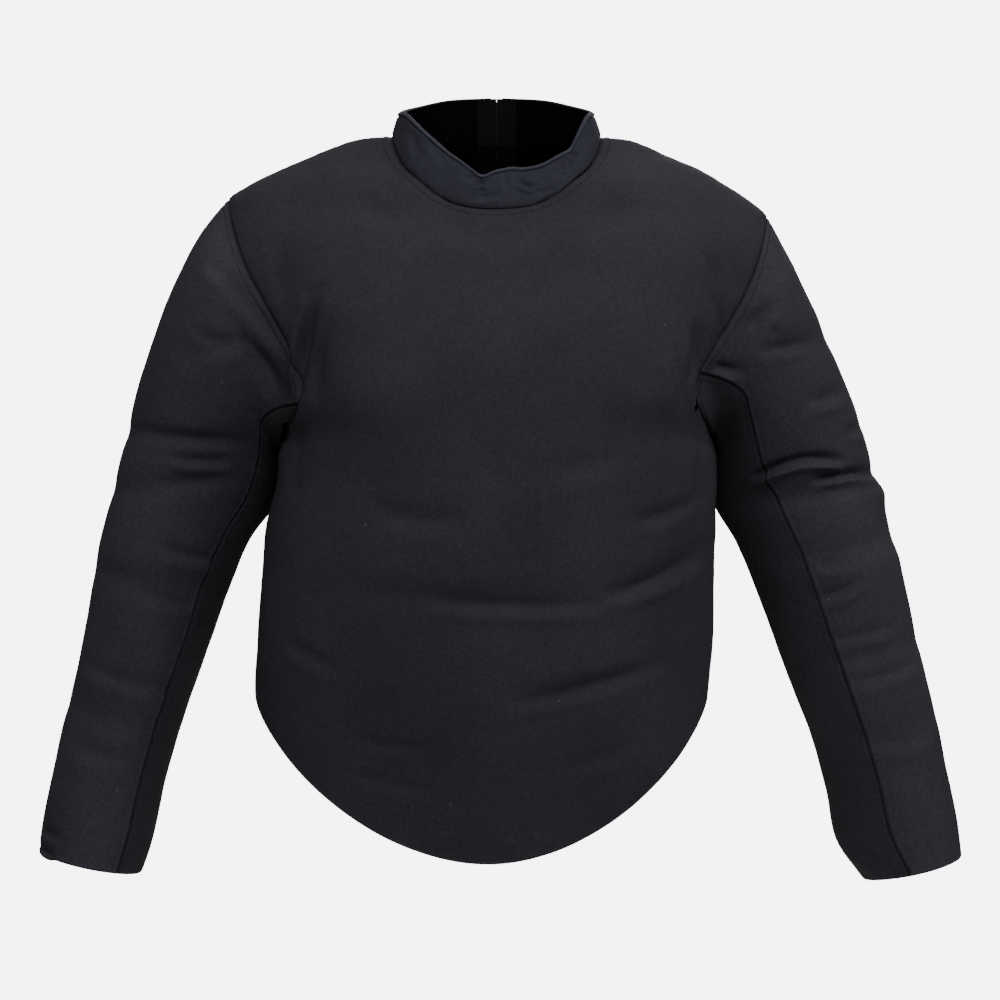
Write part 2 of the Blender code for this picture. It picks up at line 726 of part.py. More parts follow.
def cut(tracks, start, end):
    """The stretch of some tracks between two lengths along the first."""
    line = tracks[:, 0]
    length = np.concatenate([[0], np.cumsum(np.linalg.norm(np.diff(line, axis=0), axis=1))])
    end = length[-1] + end if end <= 0 else end
    at = np.concatenate([[start], length[(length > start) & (length < end)], [end]])
    flat = tracks.reshape(len(tracks), -1)
    return np.stack([np.interp(at, length, flat[:, k]) for k in range(flat.shape[1])], axis=-1).reshape(
        len(at), *tracks.shape[1:]
    )


def bar(name, sections, finish):
    """A closed bar through loops of corners."""
    count, corners = sections.shape[:2]
    faces = [list(range(corners)), [(count - 1) * corners + k for k in reversed(range(corners))]]
    for row in range(count - 1):
        for k in range(corners):
            here, there = row * corners + k, row * corners + (k + 1) % corners
            faces.append([here, here + corners, there + corners, there])
    obj = make_object(name, sections.reshape(-1, 3), faces, finish)
    turn_out(obj)
    return obj


def turn_out(obj):
    shape = bmesh.new()
    shape.from_mesh(obj.data)
    bmesh.ops.recalc_face_normals(shape, faces=shape.faces)
    if shape.calc_volume(signed=True) < 0:
        bmesh.ops.reverse_faces(shape, faces=shape.faces)
    shape.to_mesh(obj.data)
    shape.free()


def make_tape(side, tracks):
    """Half of the zip's tape, flat under the edges of the back and the collar."""
    line, step, next_line, next_step = (tracks[:, k] for k in range(4))
    width = np.abs(next_line[:, 0] - line[:, 0])
    sections = []
    outer, inner = EDGE_WALL + SEAM_GAP, EDGE_WALL + SEAM_GAP + TAPE
    for x, depth in (
        (SEAM_GAP / 2, outer), (ZIP_SLOT, outer), (TAPE_WIDTH, outer),
        (TAPE_WIDTH, inner), (ZIP_SLOT, inner), (SEAM_GAP / 2, inner),
    ):
        share = np.maximum((x - np.abs(line[:, 0])) / width, 0)[:, None]
        corner = line + (next_line - line) * share + (step + (next_step - step) * share) * depth
        corner[:, 0] = SIDES[side] * x
        sections.append(corner)
    return bar(f"zip_tape_{side}", np.stack(sections, axis=1), TAPE_FINISH)


def make_chain(tracks):
    line, step = tracks[:, 0], tracks[:, 1]
    half = np.array([CHAIN_HALF_WIDTH, 0, 0])
    sections = [
        line + half - step * CHAIN_PROUD,
        line - half - step * CHAIN_PROUD,
        line - half + step * EDGE_WALL,
        line + half + step * EDGE_WALL,
    ]
    return bar("zip_chain", np.stack(sections, axis=1), TEETH_FINISH)


def prism(name, outline, low, high, axis, finish):
    """An outline given in the two axes other than this one, run from low to high along it."""
    loops = []
    for end in (low, high):
        loop = np.insert(np.array(outline, float), axis, end, axis=1)
        loops.append(loop)
    return bar(name, np.array(loops), finish)


def block(name, low, high, finish):
    outline = [(low[0], low[1]), (high[0], low[1]), (high[0], high[1]), (low[0], high[1])]
    return prism(name, outline, low[2], high[2], 2, finish)


def combine(obj, other, operation):
    modifier = obj.modifiers.new(other.name, "BOOLEAN")
    modifier.operation = operation
    modifier.object = other
    other.hide_render = True
    other.display_type = "WIRE"
    other.parent = obj


def lean_of(up):
    return math.atan2(-up[1], up[2])


def make_slider(place, lean):
    """A wedge over the chain's end, with an arch that holds the pull."""
    half = SLIDER_LENGTH / 2
    top, foot = SLIDER_TOP_WIDTH / 2, SLIDER_FOOT_WIDTH / 2
    outline = [(-top, half), (-top, 0), (-foot, -half), (foot, -half), (top, 0), (top, half)]
    slider = prism("zip_slider", outline, -EDGE_WALL, SLIDER_PROUD, 1, METAL_FINISH)
    roof = SLIDER_PROUD + PIVOT_HEIGHT + PIVOT_CLEARANCE
    root = SLIDER_PROUD - ARCH_ROOT
    end = ARCH_LENGTH / 2
    leg = end - ARCH_LEG
    profile = [
        (root, -end), (roof + ARCH_ROOF, -end), (roof + ARCH_ROOF, end), (root, end),
        (root, leg), (roof, leg), (roof, -leg), (root, -leg),
    ]
    arch = prism("zip_arch", profile, -ARCH_WIDTH / 2, ARCH_WIDTH / 2, 0, METAL_FINISH)
    combine(slider, arch, "UNION")
    slider.location = place
    slider.rotation_euler = (lean, 0, 0)


def make_pull(pivot, lean):
    """A flat tab that swings on its top bar, which passes through the slider's arch."""
    half, edge = PULL_THICKNESS / 2, PULL_WIDTH / 2
    corner = PULL_WIDTH / 4
    foot = half - PULL_LENGTH
    outline = [
        (-edge, half), (-edge, foot + corner), (-edge + corner, foot), (edge - corner, foot),
        (edge, foot + corner), (edge, half),
    ]
    pull = prism("zip_pull", outline, -half, half, 1, METAL_FINISH)
    eye = block(
        "pull_eye",
        (-PULL_EYE_WIDTH / 2, -WALL, -half - PULL_EYE_LENGTH),
        (PULL_EYE_WIDTH / 2, WALL, -half),
        METAL_FINISH,
    )
    slot_top = foot + PULL_EYE_LENGTH / 2 + PULL_SLOT_LENGTH
    slot = block(
        "pull_slot",
        (-PULL_SLOT_WIDTH / 2, -WALL, slot_top - PULL_SLOT_LENGTH),
        (PULL_SLOT_WIDTH / 2, WALL, slot_top),
        METAL_FINISH,
    )
    combine(pull, eye, "DIFFERENCE")
    combine(pull, slot, "DIFFERENCE")
    pull.location = pivot
    pull.rotation_euler = (lean, 0, 0)


def make_zip(panels, own, normals):
    tracks = {side: beside_zip(panels, own, normals, side) for side in SIDES}
    for side in SIDES:
        make_tape(side, cut(tracks[side], TAPE_BELOW_RIM, 0))
    centre = (tracks["left"] + tracks["right"])[:, :2] / 2
    foot = SLIDER_BELOW_RIM + SLIDER_LENGTH / 2 + SEAM_GAP
    make_chain(cut(centre, foot, -(BOX_ABOVE_HEM + BOX_LENGTH + SEAM_GAP)))
    rim, below = centre[0, 0], centre[1, 0]
    up = unit(rim - below)
    lean = lean_of(up)
    out = np.array([0, up[2], -up[1]])
    place = rim - up * SLIDER_BELOW_RIM
    make_slider(place, lean)
    make_pull(place + out * (SLIDER_PROUD + PIVOT_HEIGHT), lean)
    hem, above = centre[-1, 0], centre[-2, 0]
    up = unit(above - hem)
    box = block(
        "zip_box",
        (-BOX_WIDTH / 2, -EDGE_WALL, 0),
        (BOX_WIDTH / 2, BOX_PROUD, BOX_LENGTH),
        METAL_FINISH,
    )
    box.location = hem + up * BOX_ABOVE_HEM
    box.rotation_euler = (lean_of(up), 0, 0)


def main():
    for obj in list(bpy.data.objects):
        bpy.data.objects.remove(obj)
    panels = cloth_panels()
    fold_panels(panels)
    own, normals = make_cloth(panels)
    make_zip(panels, own, normals)


main()
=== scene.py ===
# Fencing coaching jacket, dressed: cloth panels with seams, folds and stitching, the zip, light and camera
# Metres, +Z up. The wearer faces -Y, so left is +X. A drop is a distance below the origin. Tables
# named ROWS or FOLDS hold millimetres, apart from angles in degrees and the share in column rise.

import math

import bmesh
import bpy
import numpy as np
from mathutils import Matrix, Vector, noise


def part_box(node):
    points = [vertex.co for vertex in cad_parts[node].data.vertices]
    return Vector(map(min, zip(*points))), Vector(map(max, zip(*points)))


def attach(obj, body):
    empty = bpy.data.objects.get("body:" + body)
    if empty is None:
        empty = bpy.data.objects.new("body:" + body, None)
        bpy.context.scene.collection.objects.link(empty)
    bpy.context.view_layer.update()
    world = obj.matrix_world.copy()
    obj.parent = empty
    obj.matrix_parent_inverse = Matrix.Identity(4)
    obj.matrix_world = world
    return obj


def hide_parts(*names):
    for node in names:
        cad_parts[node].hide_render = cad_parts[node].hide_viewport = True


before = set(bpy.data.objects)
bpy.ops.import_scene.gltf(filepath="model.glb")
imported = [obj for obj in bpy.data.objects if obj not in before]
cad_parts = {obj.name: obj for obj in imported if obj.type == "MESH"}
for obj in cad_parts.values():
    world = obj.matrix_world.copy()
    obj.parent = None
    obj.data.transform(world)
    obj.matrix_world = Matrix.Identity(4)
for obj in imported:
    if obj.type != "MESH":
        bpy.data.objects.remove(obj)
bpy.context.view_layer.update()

# Walls and seams
WALL = 0.005
COLLAR_WALL = 0.004
EDGE_WALL = 0.002
MOST_MITRE = 1.6
ROUNDNESS = 2.2
FITTING_STEPS = 14
LONGEST_STEP = 0.02
SLOPE_STEP = 1e-4
LEAST_SLOPE = 1e-9
HALVINGS = 40
TINY = 1e-12

# Mesh density: fine intervals beside sewn and open edges, and how many coarse ones lie between
FINE_STEP = 0.0013
EDGE_ZONE = 0.013
SHOULDER_COUNT = 36
ARMHOLE_COUNT = 70
SIDE_COUNT = 80
FRONT_COUNT = 168
BACK_COUNT = 78
COLLAR_COUNT = 14
SLEEVE_COUNT = 226
SLEEVE_RADIUS = 0.072
SMOOTHING = 30
LINE_POINTS = 1600
RING_PROBES = 7
KEYS_PER_METRE = 1e6

# Cut of the body: how far it reaches to each side, to the front and to the back
TORSO_COLUMNS = ("drop", "right", "left", "front", "back")
TORSO_ROWS = (
    (-4, 50, 48, 8, 48), (0, 92, 89, 14, 60), (5, 134, 127, 22, 64), (10, 150, 142, 28, 69),
    (19, 171, 160, 37, 76), (33, 204, 191, 49, 85), (47, 232, 214, 62, 93), (61, 254, 235, 70, 100),
    (75, 263, 253, 77, 106), (100, 268, 266, 95, 116), (150, 264, 270, 118, 128),
    (200, 245, 257, 135, 134), (250, 225, 231, 146, 135), (285, 199, 202, 150, 134),
    (303, 202.2, 204.5, 151, 133), (320, 204.5, 205.5, 152, 131), (340, 209.5, 206, 153, 129),
    (360, 215, 206, 153, 127), (414, 220, 204, 153, 123), (484, 224, 203, 151, 125),
    (526, 226, 198, 146, 129), (600, 224, 198, 128, 131), (690, 221, 198, 94, 131),
)

# Neck hole, seen from above, and the collar that stands on it
NECK_HALF_WIDTH = 0.0993
NECK_FRONT = 0.078
NECK_BACK = 0.062
NECK_FRONT_ROUNDNESS = 2.4
NECK_BACK_ROUNDNESS = 2.0
RIM_SIDE_START = 0.02
RIM_SIDE_EASE = 0.05
RIM_SIDE_TAPER = 0.085
RIM_FRONT_TAPER = 0.1
RIM_BACK_TAPER = 0.03
RIM_COLUMNS = ("angle", "right", "left")
RIM_ROWS = (
    (0, -40.3, -40.3), (5, -45, -37.8), (10, -38.5, -38.2), (15, -31.8, -37.2), (22, -24.6, -34),
    (30, -16.4, -28.4), (38, -8.2, -23), (45, -0.7, -18), (51, 4.9, -7), (58, 11, 4), (66, 16.3, 13.5),
    (75, 19, 18.5), (90, 22.2, 22.2), (120, 30.5, 30.5), (150, 40, 40), (180, 43.7, 43.7),
)

# Hem: level at the sides, a slight dip behind, a rounded apron in front
SIDE_HEM = 0.526
APRON = 0.1475
APRON_TIP = -0.0075
APRON_ROUNDNESS = (1.9, 0.8)
BACK_HEM_DIP = 0.006

# Armholes
SHOULDER_POINT = {"right": 0.2524, "left": 0.2545}
UNDERARM = 0.285
SHOULDER_ZONE = 0.12
ARMHOLE_BOW = {"right": 0.03, "left": 0.025}
BOW_PEAK = 0.1055

# Sleeves: outer and inner line of each section, how far each is behind y = 0, and its half depth
SLEEVE_COLUMNS = (
    "outer_x", "outer_drop", "outer_back", "inner_x", "inner_drop", "inner_back", "half_depth",
)
SLEEVE_ROWS = {
    "right": (
        (282, 100, 0, 203, 293, 10, 86), (310, 159, 3, 204.2, 304, 26, 85),
        (332, 220, 6, 203.5, 320, 40, 82), (350, 286, 10, 212.5, 350, 46, 77),
        (364, 343, 14, 233, 379, 36, 71), (378, 400, 12, 256, 434, 24, 66),
        (386, 456, 7, 273.3, 486, 10, 61), (393, 498, 0, 287, 527, 0, 58),
        (402, 540, -7, 299, 567, -7, 55), (411, 581, -16, 310, 608, -16, 52),
        (421, 636, -29, 321, 662, -29, 49), (424, 668, -36, 330, 689, -36, 46),
    ),
    "left": (
        (276, 118, 0, 205.4, 293, 10, 86), (300, 167, 3, 206.4, 304, 26, 85),
        (327, 230, 6, 204.5, 320, 40, 82), (347, 286, 10, 208.5, 348, 46, 77),
        (364, 343, 14, 228.9, 383, 36, 71), (381, 400, 12, 250, 438, 24, 66),
        (392, 456, 7, 268.3, 491, 10, 61), (401, 498, 0, 283, 532, 0, 58),
        (410, 540, -7, 297, 573, -7, 55), (418, 581, -16, 308, 614, -16, 52),
        (427, 636, -29, 318, 662, -29, 49), (431, 673, -36, 341, 695, -36, 46),
    ),
}
# Angle of each sleeve seam round the sleeve, from its outer line: at the armhole and at the cuff
FRONT_SEAM = {"right": (138, 130), "left": (118, 101)}
BACK_SEAM = {"right": (110, 110), "left": (110, 110)}

# Folds as troughs between two places (x, drop). A depth below zero is a ridge. Rise is the share of
# the depth that stands up again beside the trough.
FOLD_FACING = 2.0
FOLD_END_POWER = 0.7
FOLD_START = 0.03
RIM_CALM = 0.004
RISE_SHIFT = 1.5
FOLD_COLUMNS = ("x0", "drop0", "x1", "drop1", "bend", "width", "depth", "rise")
FRONT_FOLDS = (
    (-135, 425, 105, 425, 6, 12, 3, 0), (95, 428, 204, 378, 4, 13, 4.5, 0),
    (5, 528, 165, 489, 4, 14, 3, 0), (-150, 563, -50, 580, 3, 14, 2.2, 0),
    (-172, 160, -158, 262, 4, 12, 4, 0), (176, 180, 188, 258, -4, 12, 3.5, 0),
    (-63, 432, 101, 435, 4, 6.3, 3.8, 0.6), (93, 430, 189, 393, 5, 6.3, 4.9, 0.7),
    (10, 523, 157, 486, 5, 7.2, 3.8, 0.6), (-136, 554, -54, 566, 3, 6.3, 2.9, 0.5),
    (-140, 588, -54, 603, 3, 6.3, 2.3, 0.5), (-115, 350, -23, 361, 5, 10.8, 2.9, 0.4),
    (21, 317, 127, 301, 5, 10.8, 2.3, 0.4), (-163, 158, -182, 250, 3, 4.9, 10.4, 0.6),
    (-149, 183, -166, 255, 4, 6.3, 5.2, 0.5), (-152, 148, -177, 163, 2, 4.5, 3.8, 0.5),
    (-197, 104, -191, 178, 3, 9, 2.9, 0.3), (192, 116, 197, 154, -3, 5.4, 3.8, 0.4),
    (196, 154, 205, 202, -3, 4.5, 6.1, 0.6), (179, 182, 177, 238, -3, 5.4, 5.6, 0.5),
    (162, 210, 169, 271, -3, 7.2, 3.8, 0.4), (-178, 271, -185, 343, 3, 7.2, 3.3, 0.4),
    (185, 280, 188, 348, -3, 7.2, 3.3, 0.4), (-192, 470, -137, 496, 3, 7.2, 2.9, 0.4),
    (120, 363, 183, 341, 4, 7.2, 3.3, 0.5), (-51, 93, 54, 95, 10, 12, 1.4, 0.3),
    (-132, 61, -83, 95, 3, 12, 1.8, 0.3), (131, 70, 83, 99, 3, 12, 1.8, 0.3),
    (57, 585, 129, 560, 3, 8.1, 2.1, 0.4), (-262, 150, -190, 262, -4, 21, 11, 0),
    (-230, 205, -192, 275, 0, 12, 6, 0), (232, 170, 190, 285, 3, 18, 10, 0),
    (196, 215, 215, 300, 0, 10, 5, 0), (-268, 120, -194, 213, -6, 7.2, 5.2, 0.4),
    (-235, 192, -206, 253, -4, 6.3, 6.1, 0.5), (-279, 188, -237, 201, 3, 6.3, 3.8, 0.5),
    (-277, 208, -224, 197, 3, 6.3, 3.3, 0.5), (-339, 277, -225, 289, 4, 6.3, 4.2, 0.6),
    (-306, 303, -242, 307, 3, 4.5, 4.5, 0.7), (-317, 327, -251, 323, 3, 7.2, 2.9, 0.4),
    (-311, 385, -258, 399, 3, 6.3, 4.2, 0.6), (-330, 426, -280, 441, 3, 6.3, 3.8, 0.6),
    (-384, 494, -290, 518, 4, 7.2, 2.9, 0.5), (-395, 567, -321, 584, 3, 8.1, 2.1, 0.4),
    (-420, 646, -396, 653, 1, 3.6, 3.3, 0.4), (-426, 662, -405, 668, 1, 3.6, 2.9, 0.4),
    (236, 325, 284, 306, -3, 4.3, 7.5, 0.8), (272, 307, 324, 308, -2, 4.3, 7.9, 0.8),
    (290, 327, 314, 320, -1, 4.5, 4.2, 0.6), (296, 326, 358, 318, -3, 4.1, 7, 0.8),
    (236, 208, 293, 197, 2, 4.5, 4.5, 0.7), (258, 161, 231, 186, 3, 6.3, 6.1, 0.5),
    (251, 187, 260, 194, 1, 5, 2.9, 0.3), (204, 221, 229, 227, 2, 5.4, 6.1, 0.5),
    (273, 117, 266, 165, -2, 5, -0.9, 0), (285, 253, 322, 242, 2, 6.3, 4.2, 0.6),
    (319, 282, 343, 273, 1, 5.4, 2.9, 0.5), (290, 437, 339, 415, 3, 5.4, 4.2, 0.7),
    (296, 406, 318, 398, 1, 5.4, 3.3, 0.5), (302, 472, 372, 456, 3, 6.3, 2.9, 0.5),
    (318, 512, 394, 491, 3, 6.3, 3.3, 0.5), (334, 568, 403, 557, 3, 7.2, 2.3, 0.5),
    (326, 662, 356, 684, -2, 4.5, 3.3, 0.4),
)
BACK_FOLDS = (
    (-170, 360, -30, 392, 6, 14, 3.5, 0), (30, 398, 170, 372, 6, 14, 3.5, 0),
    (-150, 452, -40, 440, 4, 14, 3, 0), (50, 462, 160, 446, 4, 14, 2.6, 0),
    (-176, 150, -150, 262, 4, 13, 4, 0), (176, 160, 154, 258, -4, 13, 4, 0),
    (-165, 366, -60, 390, 5, 6.3, 4.2, 0.6), (55, 400, 172, 374, 4, 6.3, 4.7, 0.6),
    (-140, 410, -55, 418, 4, 8.1, 2.9, 0.4), (45, 430, 130, 422, 4, 8.1, 2.9, 0.4),
    (-130, 478, -50, 470, 3, 7.2, 2.9, 0.5), (-172, 190, -158, 258, 3, 5.4, 5.6, 0.6),
    (172, 196, 160, 262, -3, 5.4, 6.1, 0.6), (-190, 110, -176, 170, 3, 9, 2.5, 0.3),
    (188, 120, 176, 176, -3, 9, 2.5, 0.3), (-150, 300, -70, 318, 5, 11, 2.2, 0.3),
    (66, 322, 150, 306, 5, 11, 1.8, 0.3), (-130, 140, -60, 128, -6, 13, 1.8, 0.2),
    (60, 132, 128, 146, -6, 13, 1.8, 0.2), (-345, 280, -240, 300, 4, 6.3, 4.7, 0.6),
    (-330, 320, -255, 330, 3, 6.3, 3.8, 0.5), (-350, 390, -270, 410, 3, 7.2, 3.3, 0.5),
    (-375, 470, -300, 486, 3, 8.1, 2.3, 0.4), (-285, 140, -225, 222, -5, 8.1, 4.2, 0.4),
    (250, 318, 330, 300, 3, 5.4, 4.9, 0.7), (262, 350, 340, 338, 3, 6.3, 3.8, 0.5),
    (280, 420, 360, 402, 3, 7.2, 3.8, 0.5), (300, 480, 385, 462, 3, 8.1, 2.9, 0.4),
    (276, 146, 232, 220, 5, 8.1, 4.2, 0.4),
)
SLEEVE_FOLDS = (
    (-200, 255, -203, 330, 0, 10, -1.5, 0), (199, 250, 201, 345, 0, 11, -2.6, 0),
    (215, 345, 372, 312, 8, 13, 6, 0), (345, 338, 395, 332, 0, 12, -4.5, 0),
    (235, 400, 395, 372, 4, 13, 3.5, 0), (240, 205, 318, 190, 4, 13, 3.5, 0),
    (285, 492, 405, 470, 4, 12, 3, 0), (300, 565, 415, 540, 3, 11, 2.2, 0),
    (-365, 276, -222, 300, 4, 12, 4.5, 0), (-375, 335, -225, 322, 3, 12, 3.5, 0),
    (-385, 405, -262, 428, 4, 13, 4, 0), (-300, 210, -228, 198, 3, 13, 3, 0),
    (-410, 530, -295, 552, 3, 12, 2.5, 0),
)
COLLAR_FOLDS = (
    (7.5, 36, 9.5, 64, 1, 1.8, 1.4, 0.8), (-25.5, 60, -8.5, 53.5, -3, 2.4, 4.2, 0.9),
    (-19, 69, 3, 65, -1, 2.8, 1.9, 0.6), (-32, 48, -16, 47, 2, 3, 1.6, 0.5),
    (19, 50, 36, 57.5, 2, 2.6, 3, 0.8), (33, 63, 54, 57, 1, 3, 1.9, 0.5),
    (56, 32, 66.5, 39.5, 1, 2.6, 2.6, 0.7), (67, 22, 75.5, 28.5, 1, 2.2, 3.8, 0.8),
    (-63, 11, -48, 34, -1, 4, 1.6, 0.4), (-80, 2, -74, 26, -1, 4, 1.4, 0.4),
)

# Seams: the cloth sinks to a sewn line, puckers beside it and bears a topstitch. UNEVENNESS holds
# the size and height of slow swells, in metres.
SEAM_SINK = 0.0011
SEAM_WIDTH = 0.0017
# How far from a seam the cloth's colour is darkened, as painted shade of the seam's crevice
SEAM_SHADE = 0.001
PAD_SINK = 0.0008
PAD_WIDTH = 0.008
PUCKER = 0.0003
PUCKER_REACH = 0.011
PUCKER_START = 0.003
PUCKER_PHASE = 1.7
STITCH_SEED = 3
PUCKER_WAVES = (0.0093, 0.0141, 0.0232, 0.0371)
UNEVENNESS = ((0.085, 0.0013), (0.034, 0.00055), (0.014, 0.00018))
UNEVEN_ZIP = 0.03
WELT = 0.0009
WELT_AT = 0.003
WELT_WIDTH = 0.0014
STITCH_GROOVE = 0.0007
STITCH_GROOVE_WIDTH = 0.0011
ARMHOLE_STITCH = 0.0074
NECK_STITCH = 0.0082
ZIP_STITCH = 0.0075
COLLAR_ROLL = 0.0012
COLLAR_ROLL_AT = 0.002
COLLAR_ROLL_WIDTH = 0.0016
COLLAR_STITCH = 0.0052
ARC_ROWS = 5
# How far from each open edge the colour grows paler
PALE_EDGE_WIDTH = 0.003

# Thread
STITCH = 0.0025
STITCH_BENDS = (0, 0.22, 0.78, 1)
STITCH_SPACE = 0.0012
THREAD_RADIUS = 0.0004
THREAD_DIP = 0.00075
THREAD_SIDES = 5

# Zip
ZIP_SLOT = 0.0055
TAPE_FLAT = 0.0135
TAPE_RAMP = 0.0065
TAPE_WIDTH = 0.0185
TOOTH_PITCH = 0.00135
TOOTH_SIZE = (0.003, 0.00105, 0.0018)
TOOTH_OFFSET = 0.0011
TOOTH_BEVEL = 0.00025
TOOTH_PROUD = 0.0005
STRIP = (0.0046, 0.0007)
STRIP_DEPTH = 0.0013
STRIP_STEP = 0.003
STRIP_OVER = 0.004
METAL_BEVEL = 0.0003
MERGE = 0.00002
SOFT_ANGLE = math.radians(55)
HARD_ANGLE = math.radians(40)

SIDES = {"right": -1, "left": 1}


def table(columns, rows):
    """The columns of rows, or of one row, with lengths in metres."""
    named = zip(columns, np.array(rows, float).T)
    return {name: value if name in ("angle", "rise") else value / 1000 for name, value in named}


TORSO = table(TORSO_COLUMNS, TORSO_ROWS)
RIM = table(RIM_COLUMNS, RIM_ROWS)


# Curves and points

def through(places, values, at):
    """A smooth curve through the rows of a table, read at each place; values may hold points."""
    slopes = np.gradient(values, places, axis=0)
    at = np.clip(at, places[0], places[-1])
    i = np.clip(np.searchsorted(places, at) - 1, 0, len(places) - 2)
    step = places[i + 1] - places[i]
    t = (at - places[i]) / step
    for _ in range(values.ndim - 1):
        t, step = t[..., None], step[..., None]
    start = (1 + 2 * t) * (1 - t) ** 2
    end = t * t * (3 - 2 * t)
    leave = t * (1 - t) ** 2 * step
    arrive = t * t * (t - 1) * step
    return start * values[i] + end * values[i + 1] + leave * slopes[i] + arrive * slopes[i + 1]


def torso(column, drop):
    return through(TORSO["drop"], TORSO[column], drop)


def ease(t):
    t = np.clip(t, 0, 1)
    return t * t * (3 - 2 * t)


def unit(vectors):
    return vectors / np.maximum(np.linalg.norm(vectors, axis=-1, keepdims=True), TINY)


def points(x, y, z):
    return np.stack(np.broadcast_arrays(x, y, z), axis=-1).astype(float)


def reach(x, drop):
    return np.where(x < 0, torso("right", drop), torso("left", drop))


def torso_level(p):
    """0 on the body's surface, less inside it, more outside it."""
    drop = -p[..., 2]
    depth = np.where(p[..., 1] < 0, torso("front", drop), torso("back", drop))
    across = np.abs(p[..., 0]) / reach(p[..., 0], drop)
    along = np.abs(p[..., 1]) / depth
    return (across**ROUNDNESS + along**ROUNDNESS) ** (1 / ROUNDNESS) - 1


def onto_torso(p):
    for _ in range(FITTING_STEPS):
        level = torso_level(p)
        rises = [torso_level(p + step) - torso_level(p - step) for step in np.eye(3) * SLOPE_STEP]
        slope = np.stack(rises, axis=-1) / (2 * SLOPE_STEP)
        size = np.maximum((slope**2).sum(axis=-1), LEAST_SLOPE)
        p = p - np.clip(level / size, -LONGEST_STEP, LONGEST_STEP)[..., None] * slope
    return p


def drop_above(x, y):
    """The drop of the surface over (x, y)."""
    low = np.full(np.shape(x), TORSO["drop"][0])
    high = np.full(np.shape(x), SHOULDER_ZONE)
    for _ in range(HALVINGS):
        middle = (low + high) / 2
        outside = torso_level(points(x, y, -middle)) > 0
        low = np.where(outside, middle, low)
        high = np.where(outside, high, middle)
    return (low + high) / 2


def on_ring(face, x, drop):
    """The point of the ring at this drop that has this x, on the front or the back."""
    share = np.clip(np.abs(x) / reach(x, drop), 0, 1)
    y = torso(face, drop) * (1 - share**ROUNDNESS) ** (1 / ROUNDNESS)
    return points(x, -y if face == "front" else y, -drop)


def lengths_along(line):
    """How far each point of a line is from its start."""
    return np.concatenate([[0], np.cumsum(np.linalg.norm(np.diff(line, axis=0), axis=1))])


def read(at, length, rows):
    """Rows read at these lengths."""
    return np.stack([np.interp(at, length, column) for column in rows.T], axis=-1)


def resample(line, shares):
    """Points at these shares of a line's length."""
    length = lengths_along(line)
    return read(shares * length[-1], length, line)


def shares_of(line):
    length = lengths_along(line)
    return length / length[-1]


def graded(length, count, dense_start, dense_end):
    """Shares of a length, close together at its dense ends, with count wider intervals between."""
    fine = np.linspace(0, EDGE_ZONE, round(EDGE_ZONE / FINE_STEP) + 1)
    start = fine if dense_start else np.zeros(1)
    end = length - fine[::-1] if dense_end else np.full(1, length)
    middle = np.linspace(start[-1], end[0], count + 1)
    return np.concatenate([start, middle[1:-1], end]) / length


# Seam lines

def neck_plan(degrees):
    """The neck hole from above. 0 is the middle of the front, 90 the left shoulder."""
    a = np.radians(degrees)
    ahead = np.cos(a) > 0
    power = 2 / np.where(ahead, NECK_FRONT_ROUNDNESS, NECK_BACK_ROUNDNESS)
    x = NECK_HALF_WIDTH * np.sign(np.sin(a)) * np.abs(np.sin(a)) ** power
    y = np.where(ahead, -NECK_FRONT, NECK_BACK) * np.abs(np.cos(a)) ** power
    return x, y


def neck_line(start, end):
    x, y = neck_plan(np.linspace(start, end, LINE_POINTS))
    return points(x, y, -drop_above(x, y))


def shoulder_line(side):
    x = SIDES[side] * np.linspace(NECK_HALF_WIDTH, SHOULDER_POINT[side], LINE_POINTS)
    return points(x, 0, -drop_above(x, 0))


def armhole(side, face, angles):
    """From the shoulder point, at 0 degrees, to the underarm, at 180."""
    top_x = SHOULDER_POINT[side]
    top = drop_above(SIDES[side] * top_x, 0)
    low_x = torso(side, UNDERARM)
    share = (1 - np.cos(np.radians(angles))) / 2
    bow = ARMHOLE_BOW[side] * share**3 * (1 - share) / BOW_PEAK
    x = top_x + (low_x - top_x) * share - bow
    return on_ring(face, SIDES[side] * x, top + (UNDERARM - top) * share)


def side_line(side):
    drop = np.linspace(UNDERARM, SIDE_HEM, LINE_POINTS)
    return points(SIDES[side] * torso(side, drop), 0, -drop)


def apron_line():
    ends = [SIDES[side] * torso(side, SIDE_HEM) for side in SIDES]
    swing = np.sin(np.radians(np.linspace(-90, 90, LINE_POINTS)))
    x = APRON_TIP + np.where(swing < 0, APRON_TIP - ends[0], ends[1] - APRON_TIP) * swing
    inner, outer = APRON_ROUNDNESS
    drop = SIDE_HEM + APRON * (1 - np.abs(swing) ** inner) ** outer
    return on_ring("front", x, drop)


def back_hem_line(side):
    """From the zip to the side seam."""
    half = torso(side, SIDE_HEM)
    a = np.linspace(math.asin(ZIP_SLOT / half), math.pi / 2, LINE_POINTS)
    x = SIDES[side] * half * np.sin(a)
    return on_ring("back", x, SIDE_HEM + BACK_HEM_DIP * np.cos(a) ** 2)


def zip_line(side, top, foot):
    return on_ring("back", SIDES[side] * ZIP_SLOT, np.linspace(-top[2], -foot[2], LINE_POINTS))


def back_neck_line(side):
    slot = 180 - math.degrees(math.asin(ZIP_SLOT / NECK_HALF_WIDTH))
    return neck_line(SIDES[side] * slot, SIDES[side] * 90)


